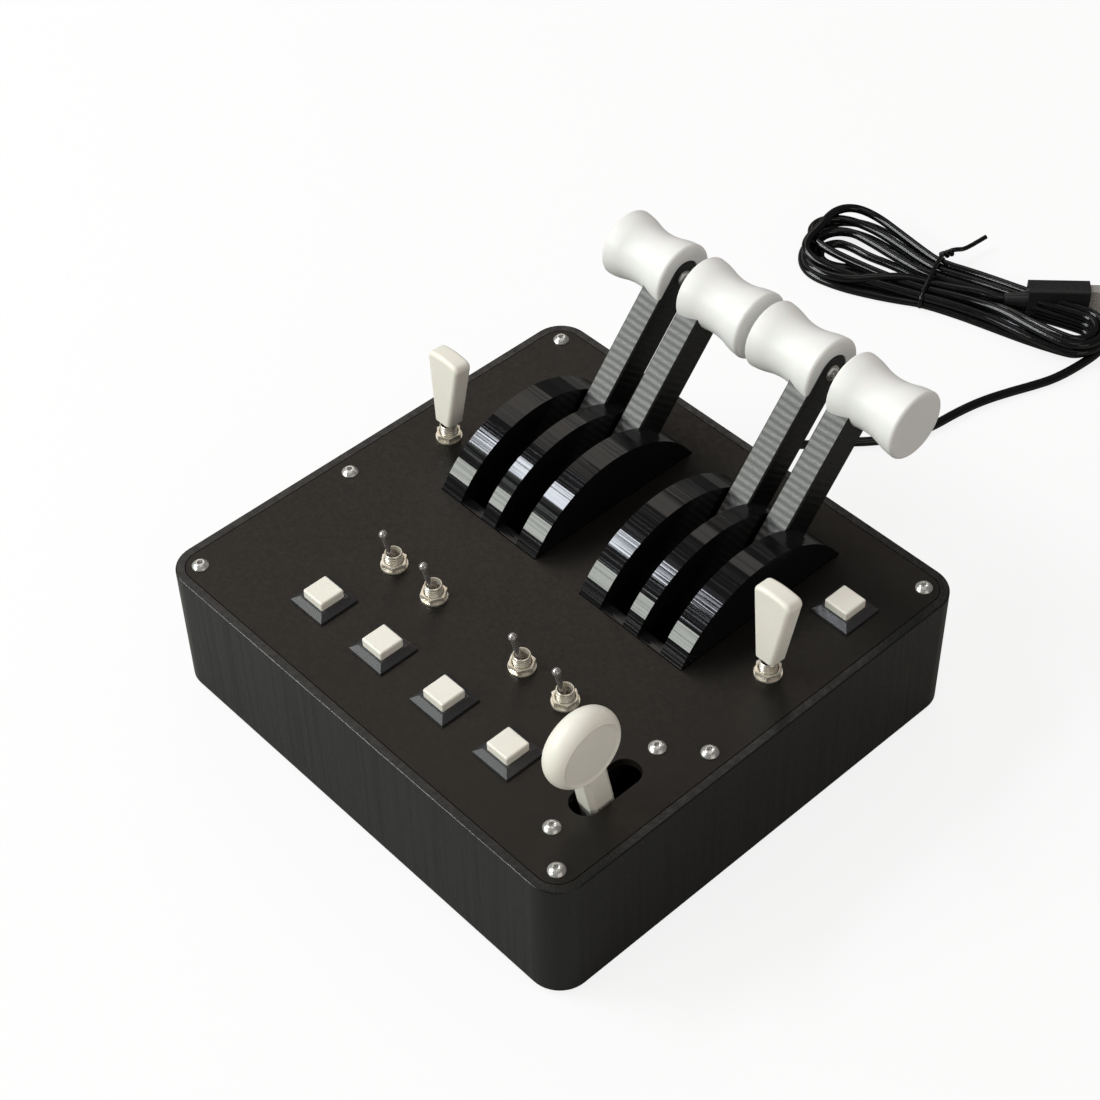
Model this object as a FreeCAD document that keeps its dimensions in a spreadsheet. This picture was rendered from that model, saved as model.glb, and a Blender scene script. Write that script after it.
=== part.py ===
import FreeCAD, Part

# USB throttle quadrant: a printed desk box with four fore-and-aft levers in two three-fin guards, a row of push
# buttons, miniature toggle switches (two of them with paddle caps) and one disc-headed lever in a slot.
# Frame: +X to the right, +Y away from the user, +Z up. The origin is on the desk under the middle of the box.

import math
import os
import re

import Sketcher
from FreeCAD import Placement, Rotation, Vector

X_AXIS = Vector(1, 0, 0)
Y_AXIS = Vector(0, 1, 0)
Z_AXIS = Vector(0, 0, 1)

# ---------------------------------------------------------------- driving sizes (millimetres and degrees)

SIZES = [
    ("base_length", 190.0, "box, left to right"),
    ("base_width", 181.0, "box, front to back"),
    ("base_height", 50.5, "box, underside to rim"),
    ("corner_radius", 11.0, "upright corners of the box"),
    ("wall_thickness", 3.2, "side walls"),
    ("floor_thickness", 3.0, "floor of the box"),
    ("rim_width", 3.1, "rim that frames the panel"),
    ("ledge_width", 2.4, "ledge under the panel's edge"),
    ("ledge_height", 3.0, "depth of that ledge"),
    ("bottom_chamfer", 0.8, "lower outer edge of the box"),
    ("rim_fillet", 0.5, "upper outer edge of the box"),
    ("panel_thickness", 3.0, "top panel"),
    ("panel_gap", 0.3, "joint line between the panel and the rim"),
    ("opening_gap", 0.3, "clearance of whatever stands in a panel opening"),
    ("seat_gap", 0.1, "clearance of one fixed piece in another"),
    ("running_gap", 0.05, "radial clearance of a shaft in its bearing"),
    ("foot_diameter", 12.0, "stick-on rubber feet"),
    ("foot_proud", 1.5, "how far the feet hold the box off the desk"),
    ("foot_recess", 1.0, "recess of a foot in the floor"),
    ("foot_inset", 20.0, "foot centre from the sides of the box"),
    ("screw_inset_x", 9.2, "panel screw from the side of the box"),
    ("screw_inset_y", 9.0, "panel screw from the front or back of the box"),
    ("side_screw_y", -17.6, "middle screw of each side"),
    ("post_size", 9.0, "square screw posts in the box"),
    ("screw_diameter", 3.0, "M3 screws throughout"),
    ("screw_head_diameter", 5.7, "button head"),
    ("screw_head_height", 1.65, "button head"),
    ("socket_size", 2.0, "hexagon socket across flats"),
    ("socket_depth", 1.0, "hexagon socket"),
    ("screw_length", 8.0, "shank of the panel screws"),
    ("screw_hole_diameter", 3.4, "clearance holes"),
    ("insert_diameter", 4.2, "brass threaded inserts"),
    ("insert_length", 5.0, "brass threaded inserts"),
    ("insert_bore_depth", 8.0, "holes that take the inserts"),
    ("control_shift", -0.7, "the controls sit this far off the middle of the box"),
    ("unit_offset", 33.8, "middle of each lever unit from the middle of the controls"),
    ("pivot_y", 36.3, "lever axis, front to back"),
    ("pivot_depth", 21.5, "lever axis below the panel's top"),
    ("fin_radius", 42.5, "arc of the guard fins about the lever axis"),
    ("outer_fin_width", 9.4, "outer fins of a guard"),
    ("middle_fin_width", 6.6, "middle fin of a guard"),
    ("lever_slot_width", 10.4, "slots between the fins"),
    ("crossbar_depth", 4.0, "bars that close the slots at the panel"),
    ("shoulder_drop", 4.0, "straight part of the guard under the panel"),
    ("cheek_half_depth", 24.0, "guard cheeks below the panel, half front to back"),
    ("guard_foot_half", 33.0, "guard foot plate, half front to back"),
    ("guard_plate", 4.0, "guard foot plate thickness"),
    ("guard_boss_height", 9.0, "screw bosses on the foot plate"),
    ("guard_boss_diameter", 8.0, "screw bosses on the foot plate"),
    ("guard_screw_y", 27.5, "foot screws from the lever axis"),
    ("guard_screw_length", 8.0, "shank of the foot screws"),
    ("countersink_depth", 2.0, "foot screw heads sink this far into the floor"),
    ("lever_width", 9.2, "lever bar, left to right"),
    ("lever_thickness", 13.0, "lever bar, front to back"),
    ("lever_length", 91.4, "lever axis to knob axis"),
    ("lever_lean", 40.0, "levers stand this far forward of upright"),
    ("lever_throw", 46.0, "levers stop this far either side of upright"),
    ("lever_chamfer", 0.5, "edges of the lever bar"),
    ("lever_hub_diameter", 18.0, "round foot of the lever"),
    ("knob_length", 28.0, "knob, end to end"),
    ("knob_end_radius", 12.3, "knob at its flared ends"),
    ("knob_waist_radius", 10.2, "knob at its waist"),
    ("knob_edge_fillet", 1.2, "knob end edges"),
    ("knob_bolt_length", 16.0, "bolt through the lever into the knob"),
    ("sensor_diameter", 16.5, "potentiometer can"),
    ("sensor_thickness", 7.5, "potentiometer can"),
    ("sensor_recess", 4.0, "pocket for the can in the guard cheek"),
    ("bushing_diameter", 7.0, "potentiometer bushing"),
    ("bushing_length", 5.0, "potentiometer bushing"),
    ("shaft_diameter", 6.0, "potentiometer shaft"),
    ("shaft_flat", 1.5, "flat of the shaft from its axis"),
    ("shaft_seat", 4.0, "how far the shaft enters the can and the lever"),
    ("pin_diameter", 5.0, "steel pivot pins"),
    ("pin_seat", 3.5, "how far a pin enters a lever"),
    ("toggle_inner_x", 21.1, "inner toggles from the middle of the controls"),
    ("toggle_outer_x", 41.0, "outer toggles from the middle of the controls"),
    ("toggle_y", -35.2, "toggle row"),
    ("paddle_inset", 19.2, "paddle switches from the sides of the box"),
    ("paddle_y", 18.7, "paddle switches"),
    ("bush_diameter", 6.0, "toggle bushing thread"),
    ("bush_height", 6.0, "toggle bushing above the panel"),
    ("bush_mouth_diameter", 4.9, "toggle bushing mouth"),
    ("bat_ball_radius", 1.6, "pivot ball of a toggle bat"),
    ("bat_neck_radius", 0.8, "bat where it leaves the ball"),
    ("bat_top_radius", 1.1, "bat under its tip"),
    ("bat_tip_radius", 1.5, "round tip of the bat"),
    ("bat_length", 16.7, "pivot to the middle of the tip"),
    ("toggle_lean", 11.5, "bats rest this far to the user's side"),
    ("paddle_lean", 4.0, "paddles rest this far to the far side"),
    ("nut_across_flats", 8.0, "toggle nuts"),
    ("nut_height", 2.0, "toggle nuts"),
    ("washer_diameter", 9.2, "toggle washers"),
    ("washer_thickness", 0.6, "toggle washers"),
    ("switch_width", 8.0, "toggle body, left to right"),
    ("switch_length", 13.0, "toggle body, front to back"),
    ("switch_depth", 10.0, "toggle body below the panel"),
    ("terminal_length", 4.0, "solder tags"),
    ("terminal_width", 1.5, "solder tags"),
    ("terminal_thickness", 0.8, "solder tags"),
    ("terminal_pitch", 5.0, "solder tags of a potentiometer"),
    ("paddle_start", 7.6, "paddle foot from the toggle pivot"),
    ("paddle_height", 27.2, "paddle, foot to top"),
    ("paddle_foot_width", 7.6, "paddle at its foot"),
    ("paddle_top_width", 15.4, "paddle at its top"),
    ("paddle_crown", 30.0, "radius of the paddle's top"),
    ("paddle_corner", 2.4, "paddle top corners"),
    ("paddle_thickness", 7.0, "paddle, front to back"),
    ("paddle_fillet", 1.5, "paddle edges"),
    ("row_margin", 72.0, "front of the box that the row of buttons leaves free"),
    ("button_row_y", -62.1, "front row of buttons"),
    ("lone_button_inset", 20.4, "fifth button from the right side of the box"),
    ("lone_button_y", 55.6, "fifth button, front to back"),
    ("bezel_size", 15.5, "square bezel"),
    ("bezel_lip", 0.8, "bezel edge on the panel"),
    ("bezel_top_size", 11.2, "bezel at its opening"),
    ("bezel_height", 2.3, "bezel above the panel"),
    ("barrel_size", 12.0, "square barrel in the panel opening"),
    ("barrel_depth", 8.0, "barrel below the panel's top"),
    ("cap_size", 9.5, "square button cap"),
    ("cap_height", 5.3, "cap above the panel"),
    ("cap_depth", 4.0, "cap below the panel's top"),
    ("cap_fillet", 0.7, "cap edges"),
    ("cap_gap", 0.15, "running clearance round the cap"),
    ("button_travel", 2.0, "cap travel"),
    ("button_body_depth", 9.0, "button switch below its barrel"),
    ("flap_inset", 21.6, "disc lever from the right side of the box"),
    ("flap_y", -49.8, "disc lever axis, front to back"),
    ("flap_pivot_depth", 22.7, "disc lever axis below the panel's top"),
    ("flap_slot_length", 27.0, "panel slot of the disc lever"),
    ("flap_slot_width", 10.6, "panel slot of the disc lever"),
    ("flap_lean", 11.0, "disc lever rests this far to the user's side"),
    ("flap_throw", 18.0, "disc lever stops this far either side of upright"),
    ("flap_reach", 50.4, "disc lever axis to the middle of its disc"),
    ("disc_radius", 13.7, "disc at its crown"),
    ("disc_face_radius", 11.3, "disc at the edge of its flat faces"),
    ("disc_dish_radius", 10.3, "dished part of the faces"),
    ("disc_dish", 0.4, "depth of the dish"),
    ("disc_thickness", 9.5, "disc"),
    ("stem_width", 8.6, "disc lever stem, left to right"),
    ("stem_thickness", 9.4, "disc lever stem, front to back"),
    ("stem_chamfer", 1.6, "stem edges"),
    ("flap_hub_diameter", 16.0, "round foot of the disc lever"),
    ("bracket_gap", 0.6, "side clearance of the disc lever in its bracket"),
    ("bracket_cheek", 5.2, "bracket cheeks"),
    ("bracket_screw_y", 22.0, "bracket screws from the disc lever axis"),
    ("bracket_end", 4.8, "bracket beyond its screws"),
    ("bracket_well", 17.0, "half length of the bracket's opening"),
    ("bracket_frame", 8.0, "bracket frame under the panel"),
    ("bracket_cheek_half", 10.0, "half depth of the bracket cheeks"),
    ("board_length", 68.0, "controller board"),
    ("board_width", 40.0, "controller board"),
    ("board_thickness", 1.6, "controller board"),
    ("board_y", -48.0, "middle of the controller board"),
    ("board_hole_inset", 3.6, "board screws from its edges"),
    ("standoff_height", 7.0, "board standoffs above the floor"),
    ("standoff_diameter", 7.0, "board standoffs"),
    ("board_screw_length", 5.0, "shank of the board screws"),
    ("processor_size", 10.0, "square processor"),
    ("processor_height", 1.2, "processor"),
    ("header_width", 2.6, "pin headers"),
    ("header_height", 8.5, "pin headers"),
    ("usb_socket_size", 12.0, "square USB socket of the board"),
    ("usb_socket_height", 7.0, "USB socket of the board"),
    ("cord_diameter", 3.5, "USB cord"),
    ("exit_x", -20.0, "cord exit in the back wall"),
    ("exit_height", 15.0, "cord exit above the desk"),
    ("gland_diameter", 8.0, "strain relief in the wall"),
    ("gland_flange_diameter", 11.0, "strain relief flange"),
    ("gland_flange", 2.0, "strain relief flange thickness"),
    ("boot_length", 20.0, "tapered boot"),
    ("boot_end_diameter", 5.0, "boot where the cord leaves it"),
    ("hank_height", 9.5, "tied hank above the desk"),
    ("tie_thickness", 1.0, "cable tie"),
    ("tie_width", 2.4, "cable tie"),
    ("tie_span", 28.4, "cable tie across the hank"),
    ("tie_head_size", 5.0, "knot of the tie"),
    ("tie_tail_length", 20.0, "free end of the tie"),
    ("tie_tail_height", 4.0, "free end of the tie above the desk"),
    ("plug_length", 24.0, "plug grip"),
    ("plug_height", 15.0, "plug grip, standing on its edge"),
    ("plug_thickness", 7.8, "plug grip"),
    ("plug_tail_length", 9.0, "tapered tail of the plug"),
    ("plug_fillet", 1.5, "plug grip edges"),
    ("shell_length", 12.0, "USB-A shell beyond the grip"),
    ("shell_height", 12.0, "USB-A shell"),
    ("shell_thickness", 4.5, "USB-A shell"),
    ("shell_wall", 0.4, "sheet of the USB-A shell"),
]
NAMES = {alias for alias, size, note in SIZES}

# levels above the desk, and other sizes that several pieces share
FLOOR_TOP = "(foot_proud + floor_thickness)"
PANEL_TOP = "(foot_proud + base_height)"
PANEL_UNDER = "(foot_proud + base_height - panel_thickness)"
PIVOT_Z = "(foot_proud + base_height - pivot_depth)"
FLAP_Z = "(foot_proud + base_height - flap_pivot_depth)"
UNIT_WIDTH = "(2*outer_fin_width + middle_fin_width + 2*lever_slot_width)"
SLOT_CENTRE = "((middle_fin_width + lever_slot_width)/2)"
FIN_CHORD = "(sqrt(fin_radius^2 - pivot_depth^2))"
SLOT_GAP = "((lever_slot_width - lever_width)/2)"
SCREW_X = "(base_length/2 - screw_inset_x)"
SCREW_Y = "(base_width/2 - screw_inset_y)"
GUARD_SCREW_X = "((middle_fin_width + outer_fin_width)/2 + lever_slot_width)"
PADDLE_X = "(base_length/2 - paddle_inset)"
FLAP_X = "(base_length/2 - flap_inset)"
BUTTON_PITCH = "((base_length - row_margin)/4)"

UNITS = (("left", -1), ("right", 1))
LEVERS = (("1", -1, -1), ("2", -1, 1), ("3", 1, -1), ("4", 1, 1))
TOGGLES = (
    ("1", "control_shift - toggle_outer_x"),
    ("2", "control_shift - toggle_inner_x"),
    ("3", "control_shift + toggle_inner_x"),
    ("4", "control_shift + toggle_outer_x"),
)
PADDLES = (("left", f"-{PADDLE_X}"), ("right", PADDLE_X))
BUTTONS = [(str(n + 1), f"control_shift + ({n} - 1.5)*{BUTTON_PITCH}", "button_row_y") for n in range(4)]
BUTTONS.append(("5", "base_length/2 - lone_button_inset", "lone_button_y"))
PANEL_SCREWS = [(f"{sx}*{SCREW_X}", f"{sy}*{SCREW_Y}") for sx in (-1, 1) for sy in (-1, 1)]
PANEL_SCREWS += [(f"{sx}*{SCREW_X}", "side_screw_y") for sx in (-1, 1)]
BRACKET_SCREWS = [(FLAP_X, f"flap_y + {sy}*bracket_screw_y") for sy in (-1, 1)]
SWITCHES = [(x, "toggle_y") for name, x in TOGGLES] + [(x, "paddle_y") for name, x in PADDLES]
NUT_TURNS = (14, 4, 2, 26, 22, 8)
BOARD_SCREWS = [
    (f"{sx}*(board_length/2 - board_hole_inset)", f"board_y + {sy}*(board_width/2 - board_hole_inset)")
    for sx in (-1, 1)
    for sy in (-1, 1)
]

# route of the free cord along its axis, from the boot to the hank (x, y, height)
CORD_ROUTE = (
    (-20.0, 124.0, 15.0),
    (-19.5, 136.0, 9.5),
    (-17.5, 147.0, 3.0),
    (-12.0, 157.0, 1.75),
    (-4.0, 166.0, 1.75),
    (2.5, 177.0, 1.75),
    (5.3, 188.0, 1.75),
    (6.5, 199.5, 1.75),
    (8.9, 211.5, 1.75),
    (13.0, 223.0, 1.75),
    (17.0, 232.5, 1.75),
    (20.2, 241.5, 1.75),
    (21.2, 252.5, 1.75),
)
# outline of the tied hank on the desk (x, y)
HANK_OUTLINE = (
    (-90.0, 216.5), (-76.0, 220.5), (-60.5, 227.5), (-45.0, 236.5), (-30.5, 241.5), (-16.0, 245.0),
    (0.0, 248.0), (12.0, 250.5), (21.0, 254.5), (24.5, 262.0), (24.0, 270.0), (18.5, 273.5),
    (9.0, 269.0), (-4.0, 261.5), (-18.0, 258.5), (-30.0, 260.5), (-43.5, 262.5), (-56.0, 263.2),
    (-72.0, 264.8), (-88.0, 265.5), (-100.0, 260.5), (-106.5, 248.0), (-105.5, 234.5), (-99.5, 222.5),
)
TIE_CENTRE = (-49.4, 249.8)
TIE_HEADING = 112.6
PLUG_START = (-13.6, 265.2)
PLUG_HEADING = 44.0

# ---------------------------------------------------------------- document and helpers

doc = FreeCAD.newDocument("throttle_quadrant")
sheet = doc.addObject("Spreadsheet::Sheet", "Sizes")
for row, (alias, size, note) in enumerate(SIZES, start=1):
    sheet.set(f"A{row}", alias)
    sheet.set(f"B{row}", str(size))
    sheet.set(f"C{row}", note)
    sheet.setAlias(f"B{row}", alias)
doc.recompute()

nodes = []


def cells(text):
    """Turn the size names in a formula into references to the sheet."""
    return re.sub(r"[a-z][a-z_]*", lambda word: f"Sizes.{word[0]}" if word[0] in NAMES else word[0], text)


def value(text):
    """Work out a formula of size names."""
    result = sheet.evalExpression(cells(text))
    return float(getattr(result, "Value", result))


def bind(piece, **formulas):
    """Tie properties of a feature to formulas of the sheet's sizes."""
    for name, formula in formulas.items():
        piece.setExpression(name, cells(formula))


def place(piece, x="0", y="0", z="0", axis=None, angle="0"):
    """Place a piece by formulas, turned by a positive angle about an axis."""
    turn = Rotation(axis, value(angle)) if axis else Rotation()
    piece.Placement = Placement(Vector(value(x), value(y), value(z)), turn)
    for name, formula in (("x", x), ("y", y), ("z", z)):
        piece.setExpression(f"Placement.Base.{name}", cells(formula))
    if axis:
        piece.setExpression("Placement.Rotation.Angle", cells(angle))
    return piece


def keep(piece):
    """Add a finished piece to those that are written out."""
    nodes.append(piece)
    return piece


def new_body(label):
    body = doc.addObject("PartDesign::Body", label)
    body.Label = label
    return body


def new_sketch(body, plane="XY_Plane", height="0", up="0"):
    """Start a sketch on one of the body's origin planes, moved along its normal and along its own y."""
    sketch = body.newObject("Sketcher::SketchObject", "Sketch")
    planes = [item for item in body.Origin.OriginFeatures if item.Role == plane]
    sketch.AttachmentSupport = [(planes[0], "")]
    sketch.MapMode = "FlatFace"
    sketch.AttachmentOffset = Placement(Vector(0, value(up), value(height)), Rotation())
    sketch.setExpression("AttachmentOffset.Base.z", cells(height))
    sketch.setExpression("AttachmentOffset.Base.y", cells(up))
    return sketch


def dimension(sketch, kind, places, formula):
    """Add one dimension to a sketch and tie it to the sheet."""
    index = sketch.addConstraint(Sketcher.Constraint(kind, *places, value(formula)))
    name = f"size_{index}"
    sketch.renameConstraint(index, name)
    sketch.setExpression(f"Constraints.{name}", cells(formula))


def fix_point(sketch, edge, end, x, y):
    """Hold a point of a sketch at formulas of its two coordinates."""
    for kind, formula, axis in (("DistanceX", x, -2), ("DistanceY", y, -1)):
        if formula == "0":
            sketch.addConstraint(Sketcher.Constraint("PointOnObject", edge, end, axis))
        else:
            dimension(sketch, kind, (-1, 1, edge, end), formula)


def outline(sketch, corners):
    """Draw a closed outline. A corner is (x, y), or (x, y, radius, side) where an arc leads to it.

    side is 1 where the arc's centre lies to the left of the way from corner to corner, and -1 to the right.
    """
    points = [Vector(value(corner[0]), value(corner[1]), 0) for corner in corners]
    edges = []
    for number, corner in enumerate(corners):
        start, end = points[number - 1], points[number]
        if len(corner) == 2:
            edge = sketch.addGeometry(Part.LineSegment(start, end))
            edges.append((edge, 1, 2))
            continue
        radius, side = value(corner[2]), corner[3]
        half = (end - start) * 0.5
        left = Vector(-half.y, half.x, 0).normalize() * side
        rise = math.sqrt(max(radius**2 - half.Length**2, 0.0))
        crown = start + half + left * (rise - radius)
        edge = sketch.addGeometry(Part.Arc(start, crown, end))
        edges.append((edge, 1, 2) if side > 0 else (edge, 2, 1))
        if rise > 0.01:
            dimension(sketch, "Radius", (edge,), corner[2])
    for number, corner in enumerate(corners):
        edge, first, last = edges[number]
        follower, start_end = edges[(number + 1) % len(edges)][:2]
        sketch.addConstraint(Sketcher.Constraint("Coincident", edge, last, follower, start_end))
        fix_point(sketch, edge, last, corner[0], corner[1])


def rectangle(sketch, x, y, width, height):
    """Draw a rectangle about a centre."""
    corners = [(-1, -1), (1, -1), (1, 1), (-1, 1)]
    outline(sketch, [(f"{x} + {i}*({width})/2", f"{y} + {j}*({height})/2") for i, j in corners])


def rounded_rectangle(sketch, width, height, radius):
    """Draw a rectangle about the origin with round corners."""
    x, y, r = f"({width})/2", f"({height})/2", f"({radius})"
    outline(
        sketch,
        [
            (f"{x} - {r}", f"-{y}"), (x, f"{r} - {y}", r, 1),
            (x, f"{y} - {r}"), (f"{x} - {r}", y, r, 1),
            (f"{r} - {x}", y), (f"-{x}", f"{y} - {r}", r, 1),
            (f"-{x}", f"{r} - {y}"), (f"{r} - {x}", f"-{y}", r, 1),
        ],
    )


def circle(sketch, x, y, diameter):
    centre = Vector(value(x), value(y), 0)
    edge = sketch.addGeometry(Part.Circle(centre, Z_AXIS, value(diameter) / 2))
    dimension(sketch, "Diameter", (edge,), diameter)
    fix_point(sketch, edge, 3, x, y)


def stadium(sketch, x, y, width, length):
    """Draw a slot with round ends, long along the sketch's y."""
    side, straight, r = f"({width})/2", f"(({length}) - ({width}))/2", f"({width})/2"
    outline(
        sketch,
        [
            (f"{x} + {side}", f"{y} - {straight}", r, 1),
            (f"{x} + {side}", f"{y} + {straight}"),
            (f"{x} - {side}", f"{y} + {straight}", r, 1),
            (f"{x} - {side}", f"{y} - {straight}"),
        ],
    )


def hexagon(sketch, across_flats, turn=0):
    """Draw a hexagon about the origin, one corner turned from the sketch's x."""
    corners = [math.radians(turn + 60 * number) for number in range(6)]
    reach = f"({across_flats})/2/cos(30)"
    outline(sketch, [(f"{math.cos(a):.6f}*{reach}", f"{math.sin(a):.6f}*{reach}") for a in corners])


def pad(body, sketch, length, symmetric=False, reverse=False):
    feature = body.newObject("PartDesign::Pad", "Pad")
    feature.Profile = sketch
    feature.Reversed = reverse
    if symmetric:
        feature.SideType = "Symmetric"
    bind(feature, Length=length)
    doc.recompute()
    return feature


def pocket(body, sketch, depth=None, reverse=False):
    """Cut against the sketch's normal, or along it if reversed, and make sure that it removed something."""
    before = body.Tip.Shape.Volume
    feature = body.newObject("PartDesign::Pocket", "Pocket")
    feature.Profile = sketch
    feature.Reversed = reverse
    if depth is None:
        feature.Type = "ThroughAll"
    else:
        bind(feature, Length=depth)
    doc.recompute()
    if feature.Shape.Volume > before - 1e-3:
        raise RuntimeError(f"a pocket in {body.Label} cuts nothing")
    return feature


def revolve(body, sketch, axis="H_Axis"):
    feature = body.newObject("PartDesign::Revolution", "Revolution")
    feature.Profile = sketch
    feature.ReferenceAxis = (sketch, [axis])
    feature.Angle = 360
    doc.recompute()
    return feature


def dress(body, kind, size, wanted):
    """Fillet or chamfer the edges of the last feature that the test picks out."""
    base = body.Tip
    names = [f"Edge{n}" for n, edge in enumerate(base.Shape.Edges, start=1) if wanted(edge)]
    feature = body.newObject(f"PartDesign::{kind}", kind)
    feature.Base = (base, names)
    bind(feature, **{"Radius" if kind == "Fillet" else "Size": size})
    doc.recompute()
    return feature


def flat_at(edge, axis, place_at):
    """Tell whether an edge lies in the plane where a coordinate has one value."""
    box = edge.BoundBox
    low, high = getattr(box, f"{axis}Min"), getattr(box, f"{axis}Max")
    return abs(low - place_at) < 1e-4 and abs(high - place_at) < 1e-4


def upright(edge):
    return edge.BoundBox.XLength < 1e-4 and edge.BoundBox.YLength < 1e-4


def group(label, pieces):
    """Gather identical separate solids in one compound."""
    compound = doc.addObject("Part::Compound", label)
    compound.Label = label
    compound.Links = pieces
    doc.recompute()
    return keep(compound)


def copies(label, master, places, z, turns=None):
    """Set linked copies of a master piece at places on one level, and gather them."""
    links = []
    for number, (x, y) in enumerate(places):
        link = doc.addObject("App::Link", f"{label}_{number + 1}")
        link.LinkedObject = master
        turn = str(turns[number]) if turns else "0"
        links.append(place(link, x, y, z, Z_AXIS if turns else None, turn))
    return group(label, links)


# ---------------------------------------------------------------- box and panel


def post_outlines(sketch):
    """Screw posts: blocks round the screws, run out into the walls behind them and cut off inside the corners."""
    cut = "(corner_radius - wall_thickness/2)/2"
    for x, y in PANEL_SCREWS:
        sx = -1 if value(x) < 0 else 1
        inner, outer = f"{x} - {sx}*post_size/2", f"{sx}*(base_length - wall_thickness)/2"
        if y == "side_screw_y":
            rectangle(sketch, f"({inner} + {outer})/2", y, f"abs({outer} - ({inner}))", "post_size")
            continue
        sy = -1 if value(y) < 0 else 1
        low, high = f"{y} - {sy}*post_size/2", f"{sy}*(base_width - wall_thickness)/2"
        corners = [(inner, low), (outer, low), (outer, f"{high} - {sy}*{cut}"), (f"{outer} - {sx}*{cut}", high)]
        outline(sketch, corners + [(inner, high)])


def make_housing():
    """Printed tub: rim and ledge for the panel, screw posts, board standoffs, cord hole and foot recesses."""
    body = new_body("base_housing")
    place(body, z="foot_proud")
    blank = new_sketch(body)
    rounded_rectangle(blank, "base_length", "base_width", "corner_radius")
    pad(body, blank, "base_height")
    dress(body, "Chamfer", "bottom_chamfer", lambda edge: flat_at(edge, "Z", 0))
    dress(body, "Fillet", "rim_fillet", lambda edge: flat_at(edge, "Z", value("base_height")))

    steps = (
        ("rim_width", "base_height", "panel_thickness"),
        ("(rim_width + ledge_width)", "base_height - panel_thickness", "ledge_height"),
        ("wall_thickness", "base_height - panel_thickness - ledge_height",
         "base_height - panel_thickness - ledge_height - floor_thickness"),
    )
    for inset, top, depth in steps:
        hollow = new_sketch(body, height=top)
        sides = [f"{side} - 2*{inset}" for side in ("base_length", "base_width")]
        rounded_rectangle(hollow, *sides, f"corner_radius - {inset}")
        pocket(body, hollow, depth)

    posts = new_sketch(body, height="floor_thickness")
    post_outlines(posts)
    pad(body, posts, "base_height - panel_thickness - floor_thickness")
    standoffs = new_sketch(body, height="floor_thickness")
    for x, y in BOARD_SCREWS:
        circle(standoffs, x, y, "standoff_diameter")
    pad(body, standoffs, "standoff_height")

    drilled = (
        (PANEL_SCREWS, "base_height - panel_thickness", "insert_diameter + 2*seat_gap", "insert_bore_depth"),
        (BOARD_SCREWS, "floor_thickness + standoff_height", "screw_diameter + 2*seat_gap",
         "board_screw_length + seat_gap"),
    )
    for places, top, diameter, depth in drilled:
        holes = new_sketch(body, height=top)
        for x, y in places:
            circle(holes, x, y, diameter)
        pocket(body, holes, depth)

    recesses = new_sketch(body)
    for sx in (-1, 1):
        for sy in (-1, 1):
            x, y = f"{sx}*(base_length/2 - foot_inset)", f"{sy}*(base_width/2 - foot_inset)"
            circle(recesses, x, y, "foot_diameter + 2*seat_gap")
    pocket(body, recesses, "foot_recess", reverse=True)

    for diameter, depth in (("screw_head_diameter + 2*seat_gap", "countersink_depth"),
                            ("screw_hole_diameter", "floor_thickness")):
        holes = new_sketch(body)
        for x, y in guard_screw_places():
            circle(holes, x, y, diameter)
        pocket(body, holes, depth, reverse=True)

    exit_hole = new_sketch(body, "XZ_Plane", height="2*wall_thickness - base_width/2")
    circle(exit_hole, "exit_x", "exit_height - foot_proud", "gland_diameter + 2*seat_gap")
    pocket(body, exit_hole, "2*wall_thickness")
    return keep(body)


def guard_screw_places():
    return [
        (f"{unit_x(side)} + {sx}*{GUARD_SCREW_X}", f"pivot_y + {sy}*guard_screw_y")
        for name, side in UNITS
        for sx in (-1, 1)
        for sy in (-1, 1)
    ]


def unit_x(side):
    return f"(control_shift + {side}*unit_offset)"


def make_panel():
    """Flat top panel with its openings."""
    body = new_body("top_panel")
    place(body, z=PANEL_UNDER)
    inset = "(rim_width + panel_gap)"
    blank = new_sketch(body)
    rounded_rectangle(blank, f"base_length - 2*{inset}", f"base_width - 2*{inset}", f"corner_radius - {inset}")
    pad(body, blank, "panel_thickness")

    openings = new_sketch(body, height="panel_thickness")
    for name, side in UNITS:
        width, length = f"{UNIT_WIDTH} + 2*opening_gap", f"2*{FIN_CHORD} + 2*opening_gap"
        rectangle(openings, unit_x(side), "pivot_y", width, length)
    for name, x, y in BUTTONS:
        rectangle(openings, x, y, "barrel_size + 2*seat_gap", "barrel_size + 2*seat_gap")
    stadium(openings, FLAP_X, "flap_y", "flap_slot_width", "flap_slot_length")
    pocket(body, openings)

    holes = new_sketch(body, height="panel_thickness")
    for x, y in PANEL_SCREWS + BRACKET_SCREWS:
        circle(holes, x, y, "screw_hole_diameter")
    for x, y in SWITCHES:
        circle(holes, x, y, "bush_diameter + 2*seat_gap")
    pocket(body, holes)
    return keep(body)


def make_button_screw(label, length):
    """Button-head screw with a hexagon socket, head up, its seat at the origin. Not a node by itself."""
    body = new_body(label)
    profile = new_sketch(body, "XZ_Plane")
    head, shank = "screw_head_diameter/2", "screw_diameter/2"
    crown = f"(({head})^2 + screw_head_height^2)/(2*screw_head_height)"
    outline(
        profile,
        [
            ("0", "screw_head_height"), ("0", f"-{length}"), (shank, f"-{length}"), (shank, "0"),
            (head, "0"), (head, "screw_head_height*0.2"), ("screw_head_diameter*0.25", "screw_head_height", crown, 1),
        ],
    )
    revolve(body, profile, "V_Axis")
    socket = new_sketch(body, height="screw_head_height")
    hexagon(socket, "socket_size")
    pocket(body, socket, "socket_depth")
    return body


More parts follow.
